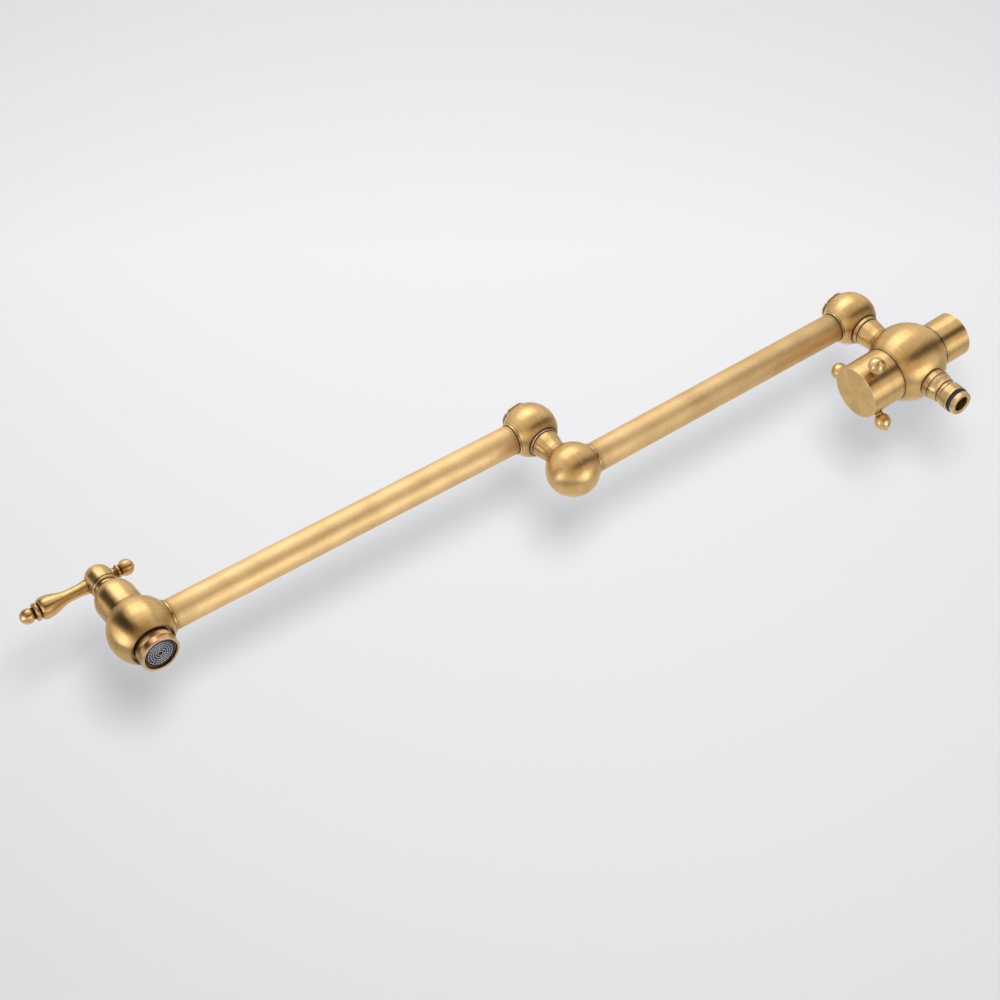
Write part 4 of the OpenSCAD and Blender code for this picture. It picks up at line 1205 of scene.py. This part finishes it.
# Pale floor with a painted light fall-off, darker towards its near end, one-sided so that it never hides the
# tap from behind
floor_place = (-0.58, -0.3, 0.0)
floor_size = 12
floor_near = (0.63, 0.622, 0.618, 1)
floor_far = (0.95, 0.94, 0.932, 1)
floor_finish = bpy.data.materials.new("pale_floor")
tree, output = emptied(floor_finish, "OutputMaterial")
far = add(tree, "VectorMath", Vector=add(tree, "TexCoord").outputs["Object"])
far.operation = "DOT_PRODUCT"
far.inputs[1].default_value = (0, 0.636, 0.771)
fade = mapped(tree, far.outputs["Value"], -0.15, 0.75)
paint = add(tree, "BsdfDiffuse", Color=colour_mix(tree, fade, floor_near, floor_far))
behind = add(tree, "NewGeometry").outputs["Backfacing"]
either_shader(tree, behind, paint, add(tree, "BsdfTransparent"), output)
facing_sheet("pale_floor", floor_place, (1, 0, 0), floor_size, floor_size, floor_finish)

# World: pale where it is seen, in the metal too, and dimmer as light
world = bpy.data.worlds.new("studio")
scene.world = world
tree, output = emptied(world, "OutputWorld")
seen_world = add(tree, "Background", Color=(0.90, 0.89, 0.91, 1))
light_world = add(tree, "Background", Color=(1, 1, 1, 1), Strength=0.42)
rays = add(tree, "LightPath").outputs
any_seen = math_node(tree, "MAXIMUM", rays["Is Camera Ray"], rays["Is Glossy Ray"])
any_seen = math_node(tree, "MAXIMUM", any_seen, rays["Is Transmission Ray"])
either_shader(tree, any_seen, light_world, seen_world, output)

# Camera at the photograph's angle
camera_place = Vector((0.98802768, -0.79762198, -0.70332604))
camera_right = Vector((-0.06321385, 0.80530717, -0.58947805))
camera_up = Vector((0.67566413, 0.46923913, 0.56858827))
camera_back = Vector((0.73449438, -0.36234652, -0.57377958))
camera_data = bpy.data.cameras.new("camera")
camera_data.lens = 79.868
camera_data.sensor_width = 36
camera_data.clip_start = 0.05
camera_data.clip_end = 20
camera = bpy.data.objects.new("camera", camera_data)
camera_turn = Matrix((camera_right, camera_up, camera_back)).transposed().to_4x4()
camera.matrix_world = Matrix.Translation(camera_place) @ camera_turn
scene.collection.objects.link(camera)
scene.camera = camera

# Lamps, and cards that paint reflections in the metal, placed from the object by how far right, up and back
# they stand in the picture
aim = Vector((0.015, -0.29, 0.06))


def seen_from_aim(right, up, back, distance):
    return aim + (camera_right * right + camera_up * up + camera_back * back).normalized() * distance


def lamp(name, direction, distance, width, height, power, colour, glossy=True, faced=aim):
    data = bpy.data.lights.new(name, "AREA")
    data.color = colour
    data.shape = "RECTANGLE"
    data.size = width
    data.size_y = height
    data.energy = power
    made = bpy.data.objects.new(name, data)
    made.location = seen_from_aim(*direction, distance)
    made.rotation_mode = "QUATERNION"
    made.rotation_quaternion = (faced - made.location).to_track_quat("-Z", "Y")
    made.visible_glossy = glossy
    made.visible_camera = False
    scene.collection.objects.link(made)


neutral = (1.0, 1.0, 1.0)
cool = (0.87, 0.91, 1.0)
lamp("shadow_lamp", (0.0, 0.05, 1.0), 1.35, 0.09, 0.07, 21.5, neutral, glossy=False)
lamp("high_box", (-0.24, 0.96, 0.10), 1.55, 1.45, 1.2, 10.0, cool, faced=Vector((-0.58, 0.25, 0.95)))
lamp("low_left_box", (-0.77, -0.40, 0.46), 1.3, 0.65, 0.55, 2.8, cool)
lamp("low_right_box", (0.76, -0.43, 0.48), 1.25, 0.7, 0.6, 3.1, cool)


def card(name, place, faced, width, height, colour):
    """A sheet of one colour that glows only for reflections in the metal: a painted reflection."""
    finish = bpy.data.materials.new(name)
    tree, output = emptied(finish, "OutputMaterial")
    reflected = add(tree, "LightPath").outputs["Is Glossy Ray"]
    either_shader(tree, reflected, add(tree, "BsdfTransparent"), add(tree, "Emission", Color=colour), output)
    sheet = facing_sheet(name, place, faced - place, width, height, finish)
    sheet.visible_camera = False
    sheet.visible_shadow = False
    sheet.visible_diffuse = False
    sheet.visible_transmission = False


grey = (0.74, 0.61, 0.46, 1)
brown = (0.03, 0.016, 0.005, 1)
card("grey_card", seen_from_aim(0.1, 0.0, 1.0, 2.2), aim, 3.4, 3.0, grey)
card("near_dark_card", seen_from_aim(0.12, 0.10, 1.0, 1.4), aim, 0.55, 0.5, brown)
card("mid_dark_card", seen_from_aim(0.46, 0.30, 0.84, 1.4), aim, 0.7, 0.6, brown)
card("far_dark_card", seen_from_aim(0.76, 0.48, 0.40, 1.4), aim, 0.7, 0.6, brown)
card("side_dark_card", seen_from_aim(0.86, 0.46, -0.14, 1.4), aim, 0.6, 0.6, brown)

# Small dark cards round the upper left of the spout ball, painting a dark reflection into it
spout_middle = at_spout.translation
spout_card_reach = 0.15
spout_card_size = 0.095
for number, (right, up, back) in enumerate(
        ((-0.80, 0.46, 0.10), (-0.66, 0.30, 0.68), (-0.25, 0.10, 0.96))):
    away = camera_right * right + camera_up * up + camera_back * back
    card(
        f"spout_dark_card_{number}", spout_middle + away * spout_card_reach, spout_middle,
        spout_card_size, spout_card_size, brown)

scene.view_settings.view_transform = "Standard"
